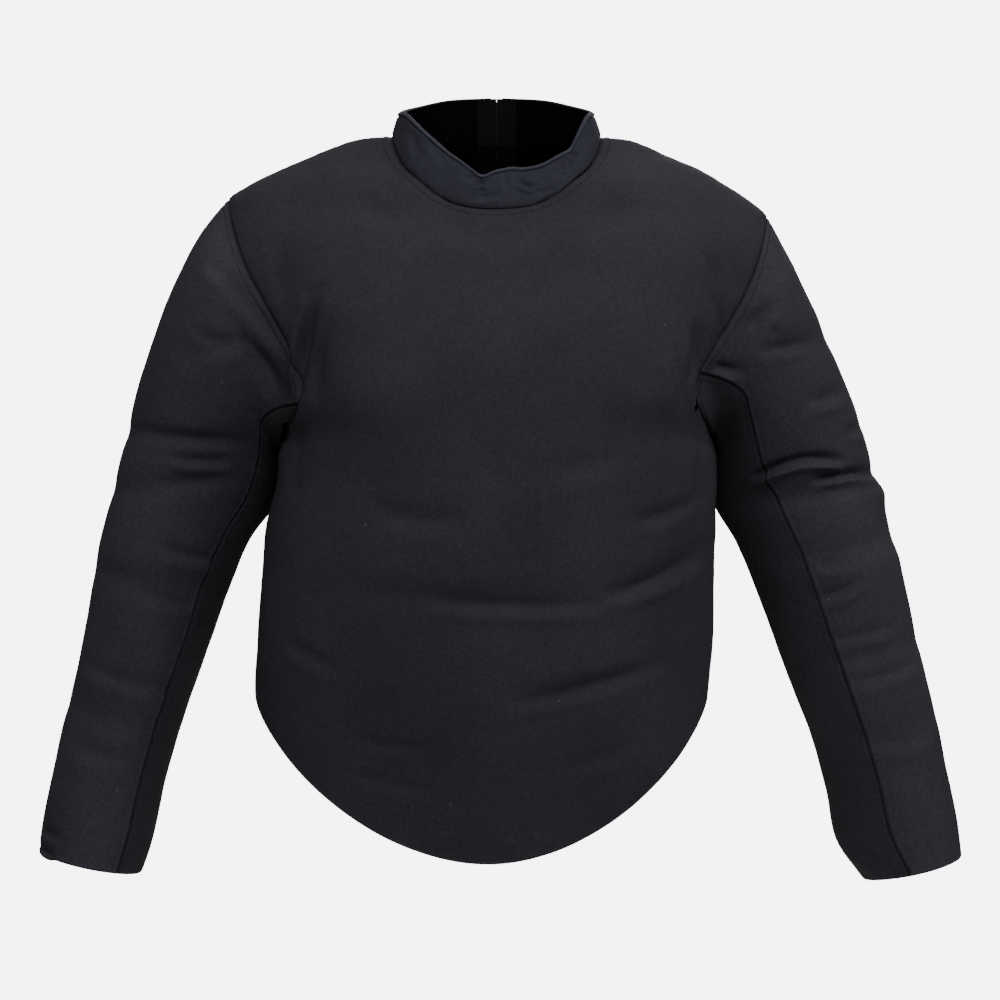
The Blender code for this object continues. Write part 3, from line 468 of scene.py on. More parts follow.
def sleeve_angles(side, face, share):
    """The angles of the sleeve's columns on one face, with one on the seam, at a share of its length."""
    seam = FRONT_SEAM[side] if face == "front" else BACK_SEAM[side]
    count = round(ARMHOLE_COUNT * seam[0] / 180)
    upper = graded(math.radians(seam[0]) * SLEEVE_RADIUS, count, False, True)
    under = graded(math.radians(180 - seam[0]) * SLEEVE_RADIUS, ARMHOLE_COUNT - count, True, False)
    at = seam[0] + (seam[1] - seam[0]) * share
    return at * upper, at + (180 - at) * under


def outer_edge(side, face):
    """Shoulder seam, armhole and side seam in one line, from the neck down."""
    upper, under = sleeve_angles(side, face, 0)
    hole = armhole(side, face, np.concatenate([upper, under[1:]]))
    shoulder, flank = shoulder_line(side), side_line(side)
    shoulder = resample(shoulder, graded(lengths_along(shoulder)[-1], SHOULDER_COUNT, True, False))
    flank = resample(flank, graded(lengths_along(flank)[-1], SIDE_COUNT, False, True))
    return np.concatenate([shoulder, hole[1:], flank[1:]])


# Panels, each a grid of points [row, column], rows from the top down

def smooth(values):
    """Moves each inner value halfway to the mean of the four beside it."""
    near = values[:-2, 1:-1] + values[2:, 1:-1] + values[1:-1, :-2] + values[1:-1, 2:]
    values[1:-1, 1:-1] = (values[1:-1, 1:-1] + near / 4) / 2


def patch(top, foot, first, last, along, across):
    """A grid between four borders that meet at their ends. along and across are its shares."""
    v, u = along[:, None, None], across[None, :, None]
    between_ends = (1 - v) * top + v * foot
    between_sides = (1 - u) * first[:, None] + u * last[:, None]
    corners = (1 - v) * ((1 - u) * top[0] + u * top[-1]) + v * ((1 - u) * foot[0] + u * foot[-1])
    grid = between_ends + between_sides - corners
    for _ in range(SMOOTHING):
        smooth(grid)
    grid[1:-1, 1:-1] = onto_torso(grid[1:-1, 1:-1])
    return grid


def front_panel():
    top, foot = neck_line(-90, 90), apron_line()
    across = graded(lengths_along(foot)[-1], FRONT_COUNT, True, True)
    right, left = outer_edge("right", "front"), outer_edge("left", "front")
    along = (shares_of(right) + shares_of(left)) / 2
    return patch(resample(top, across), resample(foot, across), right, left, along, across)


def back_panel(side):
    neck, hem = back_neck_line(side), back_hem_line(side)
    outer = outer_edge(side, "back")
    along = shares_of(outer)
    middle = resample(zip_line(side, neck[0], hem[0]), along)
    across = graded(lengths_along(hem)[-1], BACK_COUNT, True, True)
    top, foot = resample(neck, across), resample(hem, across)
    top[0], foot[0] = middle[0], middle[-1]
    return patch(top, foot, middle, outer, along, across)


def sleeve_rings(side, angles, face):
    """Each section of a sleeve at these angles, the armhole first."""
    rows = table(SLEEVE_COLUMNS, SLEEVE_ROWS[side])
    outer, inner = (
        points(SIDES[side] * rows[line + "_x"], rows[line + "_back"], -rows[line + "_drop"])
        for line in ("outer", "inner")
    )
    a = np.radians(angles)[None, :, None]
    turn = -1 if face == "front" else 1
    depth = turn * points(0, rows["half_depth"], 0)[:, None]
    middle, half = (outer + inner)[:, None] / 2, (outer - inner)[:, None] / 2
    rings = middle + half * np.cos(a) + depth * np.sin(a)
    return np.concatenate([armhole(side, face, angles)[None], rings])


def sleeve_face(side, face, part):
    """Half of an upper or an under sleeve, from the outer line or the seam inwards."""
    rings = sleeve_rings(side, np.linspace(0, 180, RING_PROBES), "front")
    steps = np.linalg.norm(np.diff(rings, axis=0), axis=2).mean(axis=1)
    places = np.concatenate([[0], np.cumsum(steps)])
    grid = []
    for share in graded(places[-1], SLEEVE_COUNT, True, True):
        angles = sleeve_angles(side, face, share)[part]
        grid.append(through(places, sleeve_rings(side, angles, face), share * places[-1]))
    return np.array(grid)


def sleeve_panel(side, part):
    """Part 0 is the upper sleeve, from its back seam over the outer line; part 1 is the under sleeve."""
    ahead, behind = sleeve_face(side, "front", part), sleeve_face(side, "back", part)
    if part == 0:
        return np.concatenate([behind[:, ::-1], ahead[:, 1:]], axis=1)
    return np.concatenate([ahead, behind[:, -2::-1]], axis=1)


def rim_point(base):
    """The collar's top edge over a point of its seam."""
    x, y = base[..., 0], base[..., 1]
    depth = np.where(y < 0, NECK_FRONT, NECK_BACK)
    power = np.where(y < 0, NECK_FRONT_ROUNDNESS, NECK_BACK_ROUNDNESS) / 2
    sine = (np.abs(x) / NECK_HALF_WIDTH) ** power
    cosine = -np.sign(y) * (np.abs(y) / depth) ** power
    angle = np.degrees(np.arctan2(sine, cosine))
    left, right = (through(RIM["angle"], RIM[side], angle) for side in ("left", "right"))
    narrow = RIM_SIDE_TAPER * ease((np.abs(x) - RIM_SIDE_START) / RIM_SIDE_EASE)
    shallow = np.where(y < 0, RIM_FRONT_TAPER, RIM_BACK_TAPER)
    return points(x * (1 - narrow), y * (1 - shallow), np.where(x < 0, right, left))


def collar_panel(front, back_right, back_left):
    """From the zip on the right round the front to the zip on the left, base row first."""
    base = np.concatenate([back_right[0], front[0, 1:], back_left[0, -2::-1]])
    rim = rim_point(base)
    height = np.linalg.norm(rim - base, axis=1).mean()
    up = graded(height, COLLAR_COUNT, True, True)[:, None, None]
    return (1 - up) * base + up * rim


# Normals, shared along the seams

def grid_normals(grid, outward):
    return unit(np.cross(np.gradient(grid, axis=1), np.gradient(grid, axis=0))) * outward


def border_indices(grid):
    border = np.ones(grid.shape[:2], bool)
    border[1:-1, 1:-1] = False
    return list(zip(*np.nonzero(border)))


def place_key(p):
    return tuple(np.round(p * KEYS_PER_METRE).astype(int))


def all_normals(panels):
    """Each panel's normals. Points shared along a seam get the one halfway between its two sides."""
    own = {name: grid_normals(panel["grid"], panel["outward"]) for name, panel in panels.items()}
    sums = {}
    for name, panel in panels.items():
        for at in border_indices(panel["grid"]):
            sides = sums.setdefault(place_key(panel["grid"][at]), {})
            sides[panel["tube"]] = sides.get(panel["tube"], 0) + own[name][at]
    shared = {}
    for name, panel in panels.items():
        shared[name] = own[name].copy()
        for at in border_indices(panel["grid"]):
            sides = sums[place_key(panel["grid"][at])]
            shared[name][at] = unit(sum(unit(normal) for normal in sides.values()))
    return own, shared


def border_distances(grid):
    """How far each point is from each border, by its own row or column, and how far along the border."""
    across = np.linalg.norm(np.diff(grid, axis=1), axis=2)
    down = np.linalg.norm(np.diff(grid, axis=0), axis=2)
    from_first = np.pad(np.cumsum(across, axis=1), ((0, 0), (1, 0)))
    from_top = np.pad(np.cumsum(down, axis=0), ((1, 0), (0, 0)))
    return {
        "top": (from_top, from_first[:1]),
        "foot": (from_top[-1:] - from_top, from_first[-1:]),
        "first": (from_first, from_top[:, :1]),
        "last": (from_first[:, -1:] - from_first, from_top[:, -1:]),
    }


# Relief of the cloth

def fold_depth(p, facing, rows, face):
    """How far the folds of one face push each point in."""
    turn = {"front": -FOLD_FACING, "back": FOLD_FACING, "both": 0}[face]
    weight = ease(0.5 + turn * facing) if turn else 1
    depth = np.zeros(p.shape[:-1])
    for row in rows:
        fold = table(FOLD_COLUMNS, row)
        run = np.array([fold["x1"] - fold["x0"], fold["drop1"] - fold["drop0"]])
        length = np.linalg.norm(run)
        run /= length
        x, drop = p[..., 0] - fold["x0"], -p[..., 2] - fold["drop0"]
        along = (x * run[0] + drop * run[1]) / length
        beside = drop * run[0] - x * run[1] - fold["bend"] * 4 * along * (1 - along)
        fade = np.sin(np.pi * np.clip(along, 0, 1)) ** FOLD_END_POWER
        beside /= fold["width"]
        rise = fold["rise"] * gentle(beside - RISE_SHIFT, 1)
        depth += fold["depth"] * fade * (gentle(beside, 1) - rise)
    return depth * weight


def gentle(distance, width):
    return np.exp(-((distance / width) ** 2))


def groove(distance):
    return STITCH_GROOVE * gentle(distance, STITCH_GROOVE_WIDTH)


def pucker(along, seed):
    """A wavy value between about -1 and 1 along a seam."""
    phases = [seed * (k + PUCKER_PHASE) ** 2 for k in range(len(PUCKER_WAVES))]
    waves = [np.sin(2 * np.pi * along / wave + phase) for wave, phase in zip(PUCKER_WAVES, phases)]
    return sum(waves) / len(waves) ** 0.5


def unevenness(p):
    """Slow dips and swells of padded cloth."""
    flat = p.reshape(-1, 3)
    total = np.zeros(len(flat))
    for size, height in UNEVENNESS:
        total += height * np.array([noise.noise(Vector((x, y, z)) / size) for x, y, z in flat])
    return total.reshape(p.shape[:-1])


def to_seam(panel, distances):
    return np.min([distances[border][0] for border in panel["sewn"]], axis=0)


def relief(name, panel, distances):
    """How far each point of a panel's outer face moves out."""
    grid, seed = panel["grid"], panel["seed"]
    out = unevenness(grid)
    nearest = to_seam(panel, distances)
    out -= PAD_SINK * gentle(nearest, PAD_WIDTH) + SEAM_SINK * gentle(nearest, SEAM_WIDTH)
    for border in panel["sewn"]:
        distance, along = distances[border]
        fade = np.exp(-distance / PUCKER_REACH) * ease(nearest / PUCKER_START)
        out += PUCKER * pucker(along, seed) * fade
    for border, offset in panel["stitched"]:
        distance, along = distances[border]
        out -= groove(distance - offset)
        out += PUCKER * pucker(along, seed + STITCH_SEED) * gentle(distance - offset, PUCKER_REACH / 2) / 2
    if name.startswith("sleeve"):
        beside = np.minimum(distances["first"][0], distances["last"][0])
        out += WELT * gentle(beside - WELT_AT, WELT_WIDTH)
    if name == "collar":
        distance = distances["foot"][0]
        out += COLLAR_ROLL * gentle(distance - COLLAR_ROLL_AT, COLLAR_ROLL_WIDTH)
        out -= groove(distance - COLLAR_STITCH)
    if name.startswith("back") or name == "collar":
        beyond = np.abs(grid[..., 0]) - ZIP_SLOT
        calmer = out * ease(beyond / UNEVEN_ZIP) - groove(beyond - ZIP_STITCH)
        out = np.where(grid[..., 1] > 0, calmer, out)
    return out


def panel_thickness(grid, full):
    """A wall's thickness, less beside the zip, where the padding stops."""
    beyond = np.abs(grid[..., 0]) - ZIP_SLOT - TAPE_FLAT
    thinned = EDGE_WALL + (full - EDGE_WALL) * ease(beyond / TAPE_RAMP)
    return np.where(grid[..., 1] > 0, thinned, full)


def cloth_panels():
    front = front_panel()
    back_right, back_left = back_panel("right"), back_panel("left")
    panels = {
        "front": {"grid": front, "outward": -1, "sewn": ("top", "first", "last")},
        "back_right": {"grid": back_right, "outward": -1, "sewn": ("top", "last")},
        "back_left": {"grid": back_left, "outward": 1, "sewn": ("top", "last")},
        "collar": {
            "grid": collar_panel(front, back_right, back_left), "outward": 1, "sewn": ("top",)
        },
    }
    for side, turn in SIDES.items():
        for part, word in enumerate(("upper", "under")):
            panels[f"sleeve_{side}_{word}"] = {
                "grid": sleeve_panel(side, part), "outward": turn, "sewn": ("top", "first", "last"),
            }
    for seed, (name, panel) in enumerate(panels.items()):
        first = name.split("_")[0]
        tubes = {"collar": "collar", "sleeve": name.rpartition("_")[0]}
        panel["tube"] = tubes.get(first, "body")
        panel["seed"] = seed + 1
        panel["thickness"] = COLLAR_WALL if name == "collar" else WALL
        stitched = {"collar": (), "sleeve": (("top", ARMHOLE_STITCH),)}
        panel["stitched"] = stitched.get(first, (("top", NECK_STITCH),))
    return panels


def fold_panels(panels):
    """Pushes the folds into each panel."""
    normals = all_normals(panels)[1]
    for name, panel in panels.items():
        grid, facing = panel["grid"], normals[name][..., 1]
        if name == "collar":
            inward = fold_depth(grid, facing, COLLAR_FOLDS, "front")
            inward = inward * ease(border_distances(grid)["top"][0] / RIM_CALM)
        else:
            inward = fold_depth(grid, facing, FRONT_FOLDS, "front")
            inward += fold_depth(grid, facing, BACK_FOLDS, "back")
            inward += fold_depth(grid, facing, SLEEVE_FOLDS, "both")
        if name.startswith("back"):
            beyond = np.abs(grid[..., 0]) - ZIP_SLOT - TAPE_WIDTH
            inward = inward * ease(beyond / FOLD_START)
        smooth(inward)
        panel["grid"] = grid - normals[name] * inward[..., None]


# Meshes

def wrapped(panel, own, normals, lift):
    """The outer face, an arc round the open edge and the inner face, as one long grid."""
    grid = panel["grid"]
    mitre = 1 / np.maximum((own * normals).sum(axis=-1), 1 / MOST_MITRE)
    inward = normals * (mitre * panel_thickness(grid, panel["thickness"]))[..., None]
    outer = grid + normals * lift[..., None]
    inner = grid - inward
    edge, inside = outer[-1], inner[-1]
    middle, half = (edge + inside) / 2, (edge - inside) / 2
    ahead = unit(grid[-1] - grid[-3])
    radius = np.linalg.norm(half, axis=1, keepdims=True)
    turns = np.radians(np.linspace(90, -90, ARC_ROWS + 2)[1:-1])
    back_off = ahead * radius
    near = np.clip(1 - border_distances(grid)["foot"][0] / (2 * radius.mean()), 0, 1)[..., None]
    outer = outer - back_off * near
    inner = inner - back_off * near
    arc = [middle - back_off + half * math.sin(t) + back_off * math.cos(t) for t in turns]
    return np.concatenate([outer, np.array(arc), inner[::-1]])


def wrapped_faces(rows, total, columns):
    """Faces of the closed wall, all turned one way; rows is how many the outer face has."""
    number = np.arange(total * columns).reshape(total, columns)
    a, b, c, d = number[:-1, :-1], number[:-1, 1:], number[1:, 1:], number[1:, :-1]
    faces = np.stack([a, b, c, d], axis=-1).reshape(-1, 4).tolist()
    first, last = number[:, 0].tolist(), number[:, -1].tolist()
    for k in range(rows - 1):
        far = total - 1 - k
        faces.append([first[k], first[k + 1], first[far - 1], first[far]])
        faces.append([last[k + 1], last[k], last[far], last[far - 1]])
    faces.append(first[rows - 1 : total - rows + 1])
    faces.append(last[rows - 1 : total - rows + 1][::-1])
    top, under = number[0].tolist(), number[-1].tolist()
    faces += [[top[k + 1], top[k], under[k], under[k + 1]] for k in range(columns - 1)]
    return faces


def cloth_map(grid):
    """Places on the flat cloth in metres, one for each point of the outer face."""
    distances = border_distances(grid)
    across, down = distances["first"][0], distances["top"][0]
    return np.stack([across - across[:, -1:] / 2, -down], axis=-1)


def tube_faces(rings, sides):
    """Faces of a tube from ring to ring, with a cap at each end."""
    number = np.arange(rings * sides).reshape(rings, sides)
    ahead = np.roll(number, -1, axis=1)
    faces = np.stack([number[:-1], ahead[:-1], ahead[1:], number[1:]], axis=-1).reshape(-1, 4)
    return faces.tolist() + [number[0, ::-1].tolist(), number[-1].tolist()]


def copies(faces, size, count):
    """Faces of as many copies of a piece that has size points."""
    return [[k + copy * size for k in face] for copy in range(count) for face in faces]


def new_object(name, data):
    obj = bpy.data.objects.new(name, data)
    bpy.context.scene.collection.objects.link(obj)
    return obj


def make_mesh(name, verts, faces, material):
    mesh = bpy.data.meshes.new(name)
    mesh.from_pydata(verts.tolist(), [], faces)
    mesh.shade_smooth()
    mesh.materials.append(material)
    return new_object(name, mesh)


def cloth_object(name, panel, own, normals, material, lining_with_painted_shade):
    grid = panel["grid"]
    distances = border_distances(grid)
    lift = relief(name, panel, distances)
    long_grid = wrapped(panel, own, normals, lift)
    rows, columns = grid.shape[:2]
    total = len(long_grid)
    faces = wrapped_faces(rows, total, columns)
    obj = make_mesh(f"cloth_{name}", long_grid.reshape(-1, 3), faces, material)
    if panel["outward"] < 0:
        obj.data.flip_normals()
    flat = cloth_map(grid)
    around = np.concatenate([flat, np.repeat(flat[-1:], ARC_ROWS, axis=0), flat[::-1]]).reshape(-1, 2)
    layer = obj.data.uv_layers.new(name="Cloth")
    corner = np.zeros(len(obj.data.loops), np.int32)
    obj.data.loops.foreach_get("vertex_index", corner)
    layer.uv.foreach_set("vector", around[corner].astype(np.float32).ravel())
    # A mask that makes the colour paler towards each open edge and all over its rounded rim
    pale_edge = np.zeros((total, columns), np.float32)
    pale_edge[:rows] = gentle(distances["foot"][0], PALE_EDGE_WIDTH)
    pale_edge[rows : rows + ARC_ROWS] = 1
    # Painted shade: a mask that darkens the colour along each sewn seam, as the shadow in its crevice
    seam = np.zeros((total, columns), np.float32)
    seam[:rows] = gentle(to_seam(panel, distances), SEAM_SHADE)
    # The inner faces take the lining, a black cloth painted near black as the shade inside the jacket
    obj.data.materials.append(lining_with_painted_shade)
    face_count = len(obj.data.polygons)
    inside = np.zeros(face_count, np.int32)
    inside[(rows + ARC_ROWS - 1) * (columns - 1) :] = 1
    obj.data.polygons.foreach_set("material_index", inside)
    for title, values in (("pale_edge", pale_edge), ("seam", seam)):
        attribute = obj.data.attributes.new(title, "FLOAT", "POINT")
        attribute.data.foreach_set("value", values.ravel())
    obj.data.set_sharp_from_angle(angle=SOFT_ANGLE)
    panel["outer"] = long_grid[:rows]
    return obj, flat


def offset_line(panel, border, offset):
    """The line on a panel's outer face at this distance from a border, and the normals there."""
    outer = panel["outer"]
    normals = grid_normals(outer, panel["outward"])
    distance = border_distances(panel["grid"])[border][0]
    both = np.concatenate([outer, normals], axis=2)
    if border in ("top", "foot"):
        both, distance = both.swapaxes(0, 1), distance.swapaxes(0, 1)
    orders = [np.argsort(away) for away in distance]
    line = np.array([
        read(offset, away[order], rows[order]) for rows, away, order in zip(both, distance, orders)
    ])
    return line[:, :3], unit(line[:, 3:])


def thread(name, line, normals, material):
    """Stitches along a line: short rods whose ends dip into the cloth."""
    length = lengths_along(line)
    both = np.concatenate([line, normals], axis=1)
    pitch = STITCH + STITCH_SPACE
    count = int(length[-1] / pitch)
    starts = (length[-1] - count * pitch) / 2 + np.arange(count) * pitch
    heights = np.array([-THREAD_DIP, 0, 0, -THREAD_DIP])
    path = read(starts[:, None] + np.array(STITCH_BENDS) * STITCH, length, both)
    up = unit(path[..., 3:])
    centre = path[..., :3] + up * heights[:, None]
    along = unit(centre[:, -1:] - centre[:, :1])
    beside = unit(np.cross(up, along))
    turns = np.linspace(0, 2 * np.pi, THREAD_SIDES, endpoint=False)[:, None]
    rings = centre[:, :, None] + THREAD_RADIUS * (
        np.cos(turns) * beside[:, :, None] + np.sin(turns) * up[:, :, None]
    )
    bends = len(STITCH_BENDS)
    faces = copies(tube_faces(bends, THREAD_SIDES), bends * THREAD_SIDES, count)
    obj = make_mesh(name, rings.reshape(-1, 3), faces, material)
    recalculate(obj)
    return obj


def recalculate(obj):
    shape = bmesh.new()
    shape.from_mesh(obj.data)
    bmesh.ops.recalc_face_normals(shape, faces=shape.faces)
    shape.to_mesh(obj.data)
    shape.free()


# Materials

# Colours, most as a darker and a paler one. How pale the cloth of each part is was set as painted light
# and shade: the upper sleeves paler, as if lit, the under sleeves darker, as if in shade.
SHELL = ((0.019, 0.0176, 0.024), (0.0268, 0.0243, 0.0328))
PANEL_PAINTED_LIGHT_AND_SHADE = {"body": 1.0, "upper": 1.2, "under": 0.8}
COLLAR = ((0.017, 0.0172, 0.0265), (0.024, 0.0244, 0.0366))
# The lining: black cloth, painted darker still as the shade inside the jacket
BLACK_LINING_WITH_PAINTED_SHADE = ((0.0012, 0.0012, 0.0015), (0.0028, 0.0028, 0.0032))
TAPE = ((0.002, 0.002, 0.0024), (0.006, 0.006, 0.0068))
# The thread: black, painted darker still as the shade in the stitch holes
BLACK_THREAD_WITH_PAINTED_SHADE = (0.0022, 0.0022, 0.0026)
TEETH = (0.012, 0.012, 0.013)
METAL = (0.03, 0.03, 0.033)
LINT = (0.18, 0.19, 0.18)
# Painted shade: the near-black colour laid along the seams as the shadow in their crevices
PAINTED_SEAM_SHADOW = (0.0015, 0.0015, 0.0018)
# How much paler the colour grows at the open edges
PALE_EDGE_FACTOR = 1.5
PLAIN_PALENESS = 1.7
# How strongly the painted seam shade darkens the cloth
PAINTED_SEAM_SHADOW_STRENGTH = 0.85
# Noise in the cloth, as scale and detail, and its bumps from the widest down, as strength and depth
SLOW = (9.0, 2.0)
MIDDLE = (46.0, 3.0)
FLECK = (320.0, 2.0)
SLUB = (900.0, 3.0)
BUMPS = ((0.35, 0.0014), (0.35, 0.0004), (0.35, 0.00025), (0.5, 0.00012))
LINT_SCALE = 52.0
LINT_EDGE = (0.022, 0.034)
LINT_ABOVE = 0.86
LINING_PITCH = 0.0006
TAPE_RIB = 0.0009
TAPE_WARP = 0.0007


def add_node(tree, kind, inputs=(), **attributes):
    """Adds a node, sets or links its inputs, and gives its outputs."""
    made = tree.nodes.new("ShaderNode" + kind)
    for key, value in attributes.items():
        setattr(made, key, value)
    for socket, value in dict(inputs).items():
        if isinstance(value, bpy.types.NodeSocket):
            tree.links.new(value, made.inputs[socket])
        else:
            made.inputs[socket].default_value = (*value, 1) if isinstance(value, tuple) else value
    return made.outputs


class Shader:
    """A Principled material and short ways to add nodes to it."""

    def __init__(self, name, roughness, specular, metallic=0.0):
        self.material = bpy.data.materials.new(name)
        self.material.use_nodes = True
        self.tree = self.material.node_tree
        self.inputs = self.tree.nodes["Principled BSDF"].inputs
        values = {"Roughness": roughness, "Specular IOR Level": specular, "Metallic": metallic}
        for socket, value in values.items():
            self.inputs[socket].default_value = value

    def into(self, socket, source):
        self.tree.links.new(source, self.inputs[socket])

    def node(self, kind, *inputs, **attributes):
        return add_node(self.tree, kind, enumerate(inputs), **attributes)

    def place(self):
        return self.node("TexCoord")["Object"]

    def attribute(self, name):
        return self.node("Attribute", attribute_name=name)["Fac"]

    def math(self, operation, *values):
        return self.node("Math", *values, operation=operation)[0]

    def times(self, a, b):
        return self.math("MULTIPLY", a, b)

    def turns(self, length, pitch):
        """An angle that makes one turn over each pitch."""
        return self.times(length, 2 * math.pi / pitch)

    def ramp(self, source, low, high, start=0.0, end=1.0):
        """A value that goes from start to end as source goes from low to high."""
        return self.node("MapRange", source, low, high, start, end)[0]

    def mix(self, factor, a, b, blend="MIX"):
        inputs = {0: factor, 6: a, 7: b}
        return add_node(self.tree, "Mix", inputs, data_type="RGBA", blend_type=blend)[2]

    def tones(self, source, low, high, colours):
        self.into("Base Color", self.mix(self.ramp(source, low, high), *colours))

    def noise(self, place, scale, detail=2.0):
        inputs = {"Vector": place, "Scale": scale, "Detail": detail}
        return add_node(self.tree, "TexNoise", inputs)["Fac"]

    def bump(self, height, strength, distance, below=None):
        inputs = {"Height": height, "Strength": strength, "Distance": distance}
        if below:
            inputs["Normal"] = below
        return add_node(self.tree, "Bump", inputs)["Normal"]


def weave(shader, pitch, twill):
    """A height from crossing yarns on the flat cloth, and the place on it."""
    place = shader.node("UVMap", uv_map="Cloth")[0]
    across, down = (shader.turns(length, pitch) for length in shader.node("SeparateXYZ", place)[:2])
    if twill:
        diagonal = shader.math("SINE", shader.math("ADD", across, down))
        cross = shader.math("SINE", shader.math("SUBTRACT", across, shader.times(down, 0.5)))
        return shader.math("MULTIPLY_ADD", cross, 0.35, diagonal), place
    return shader.times(shader.math("SINE", across), shader.math("SINE", down)), place


def cloth_material(name, colour, light, pitch, twill, roughness):
    """Woven cloth: yarns, slubs, slow changes of tone, lint, paler open edges and painted shade along the
    seams.
    """
    shader = Shader(name, roughness, specular=0.25)
    height, flat = weave(shader, pitch, twill)
    place = shader.place()
    slow = shader.noise(place, *SLOW)
    middle = shader.noise(place, *MIDDLE)
    slub = shader.noise(flat, *SLUB)
    tone = shader.mix(shader.ramp(slow, 0.35, 0.68), colour, light)
    tone = shader.mix(shader.ramp(middle, 0.4, 0.72, 0.0, 0.45), tone, light)
    fleck = shader.noise(place, *FLECK)
    yarn = shader.ramp(height, -1.2, 1.2, 0.8, 1.12)
    speck = shader.ramp(shader.math("ADD", slub, fleck), 0.7, 1.35, 0.76, 1.3)
    grey = shader.times(yarn, speck)
    tone = shader.mix(1.0, tone, shader.node("CombineColor", grey, grey, grey)[0], "MULTIPLY")
    # The colour grows paler, in patches, towards the open edges
    pale_edge_mask = shader.times(shader.attribute("pale_edge"), shader.ramp(middle, 0.35, 0.7, 0.1, 0.6))
    tone = shader.mix(pale_edge_mask, tone, tuple(PALE_EDGE_FACTOR * c for c in light))
    lint = add_node(shader.tree, "TexVoronoi", {"Vector": place, "Scale": LINT_SCALE}, feature="F1")
    chosen = shader.node("SeparateColor", lint["Color"])[0]
    near = shader.ramp(lint["Distance"], *LINT_EDGE, 1.0, 0.0)
    few = shader.math("GREATER_THAN", chosen, LINT_ABOVE)
    tone = shader.mix(shader.times(near, few), tone, LINT)
    # Painted shade: the colour goes near black along the seams, as the shadow in their crevices
    painted_seam_shadow = shader.times(shader.attribute("seam"), PAINTED_SEAM_SHADOW_STRENGTH)
    shader.into("Base Color", shader.mix(painted_seam_shadow, tone, PAINTED_SEAM_SHADOW))
    shader.into("Roughness", shader.ramp(middle, 0.3, 0.7, roughness - 0.05, roughness + 0.06))
    normal = None
    for source, bump in zip((middle, fleck, slub, height), BUMPS):
        normal = shader.bump(source, *bump, normal)
    shader.into("Normal", normal)
    return shader.material


def plain_material(name, colour, roughness, scale, depth, specular=0.4, metallic=0.0):
    """Thread, plastic or metal with small changes of tone, gloss and surface."""
    shader = Shader(name, roughness, specular, metallic)
    grain = shader.noise(shader.place(), scale, 4.0)
    pale = tuple(PLAIN_PALENESS * c for c in colour)
    shader.tones(grain, 0.3, 0.7, (colour, pale))
    shader.into("Roughness", shader.ramp(grain, 0.3, 0.7, roughness - 0.08, roughness + 0.1))
    shader.into("Normal", shader.bump(grain, 0.5, depth))
    return shader.material


def lining_with_painted_shade_material():
    """Black lining, woven fine, with little shine, painted near black as the shade inside the jacket."""
    shader = Shader("lining_with_painted_shade", 0.95, specular=0.02)
    height, flat = weave(shader, LINING_PITCH, False)
    grain = shader.noise(flat, 220.0, 3.0)
    shader.tones(grain, 0.3, 0.7, BLACK_LINING_WITH_PAINTED_SHADE)
    shader.into("Normal", shader.bump(height, 0.4, 0.0001))
    return shader.material


def tape_material():
    """Ribbed woven tape."""
    shader = Shader("tape_weave", 0.85, specular=0.06)
    across, _, up = shader.node("SeparateXYZ", shader.place())
    ribs = shader.math("SINE", shader.turns(up, TAPE_RIB))
    warp = shader.math("SINE", shader.turns(across, TAPE_WARP))
    height = shader.times(ribs, warp)
    shader.tones(height, -1.0, 1.0, TAPE)
    shader.into("Normal", shader.bump(height, 0.6, 0.00015))
    return shader.material


# Zip

def zip_track(panels):
    """The middle of the zip's opening from the collar's rim to the hem, and the way out at each point."""
    sides = []
    for side in SIDES:
        end = 0 if side == "right" else -1
        back, collar = panels[f"back_{side}"], panels["collar"]
        line = np.concatenate([collar["grid"][::-1, end], back["grid"][1:, 0]])
        normals = [grid_normals(p["grid"], p["outward"]) for p in (collar, back)]
        sides.append((line, np.concatenate([normals[0][::-1, end], normals[1][1:, 0]])))
    line = (sides[0][0] + sides[1][0]) / 2
    return line, unit((sides[0][1] + sides[1][1]) * (0, 1, 1))


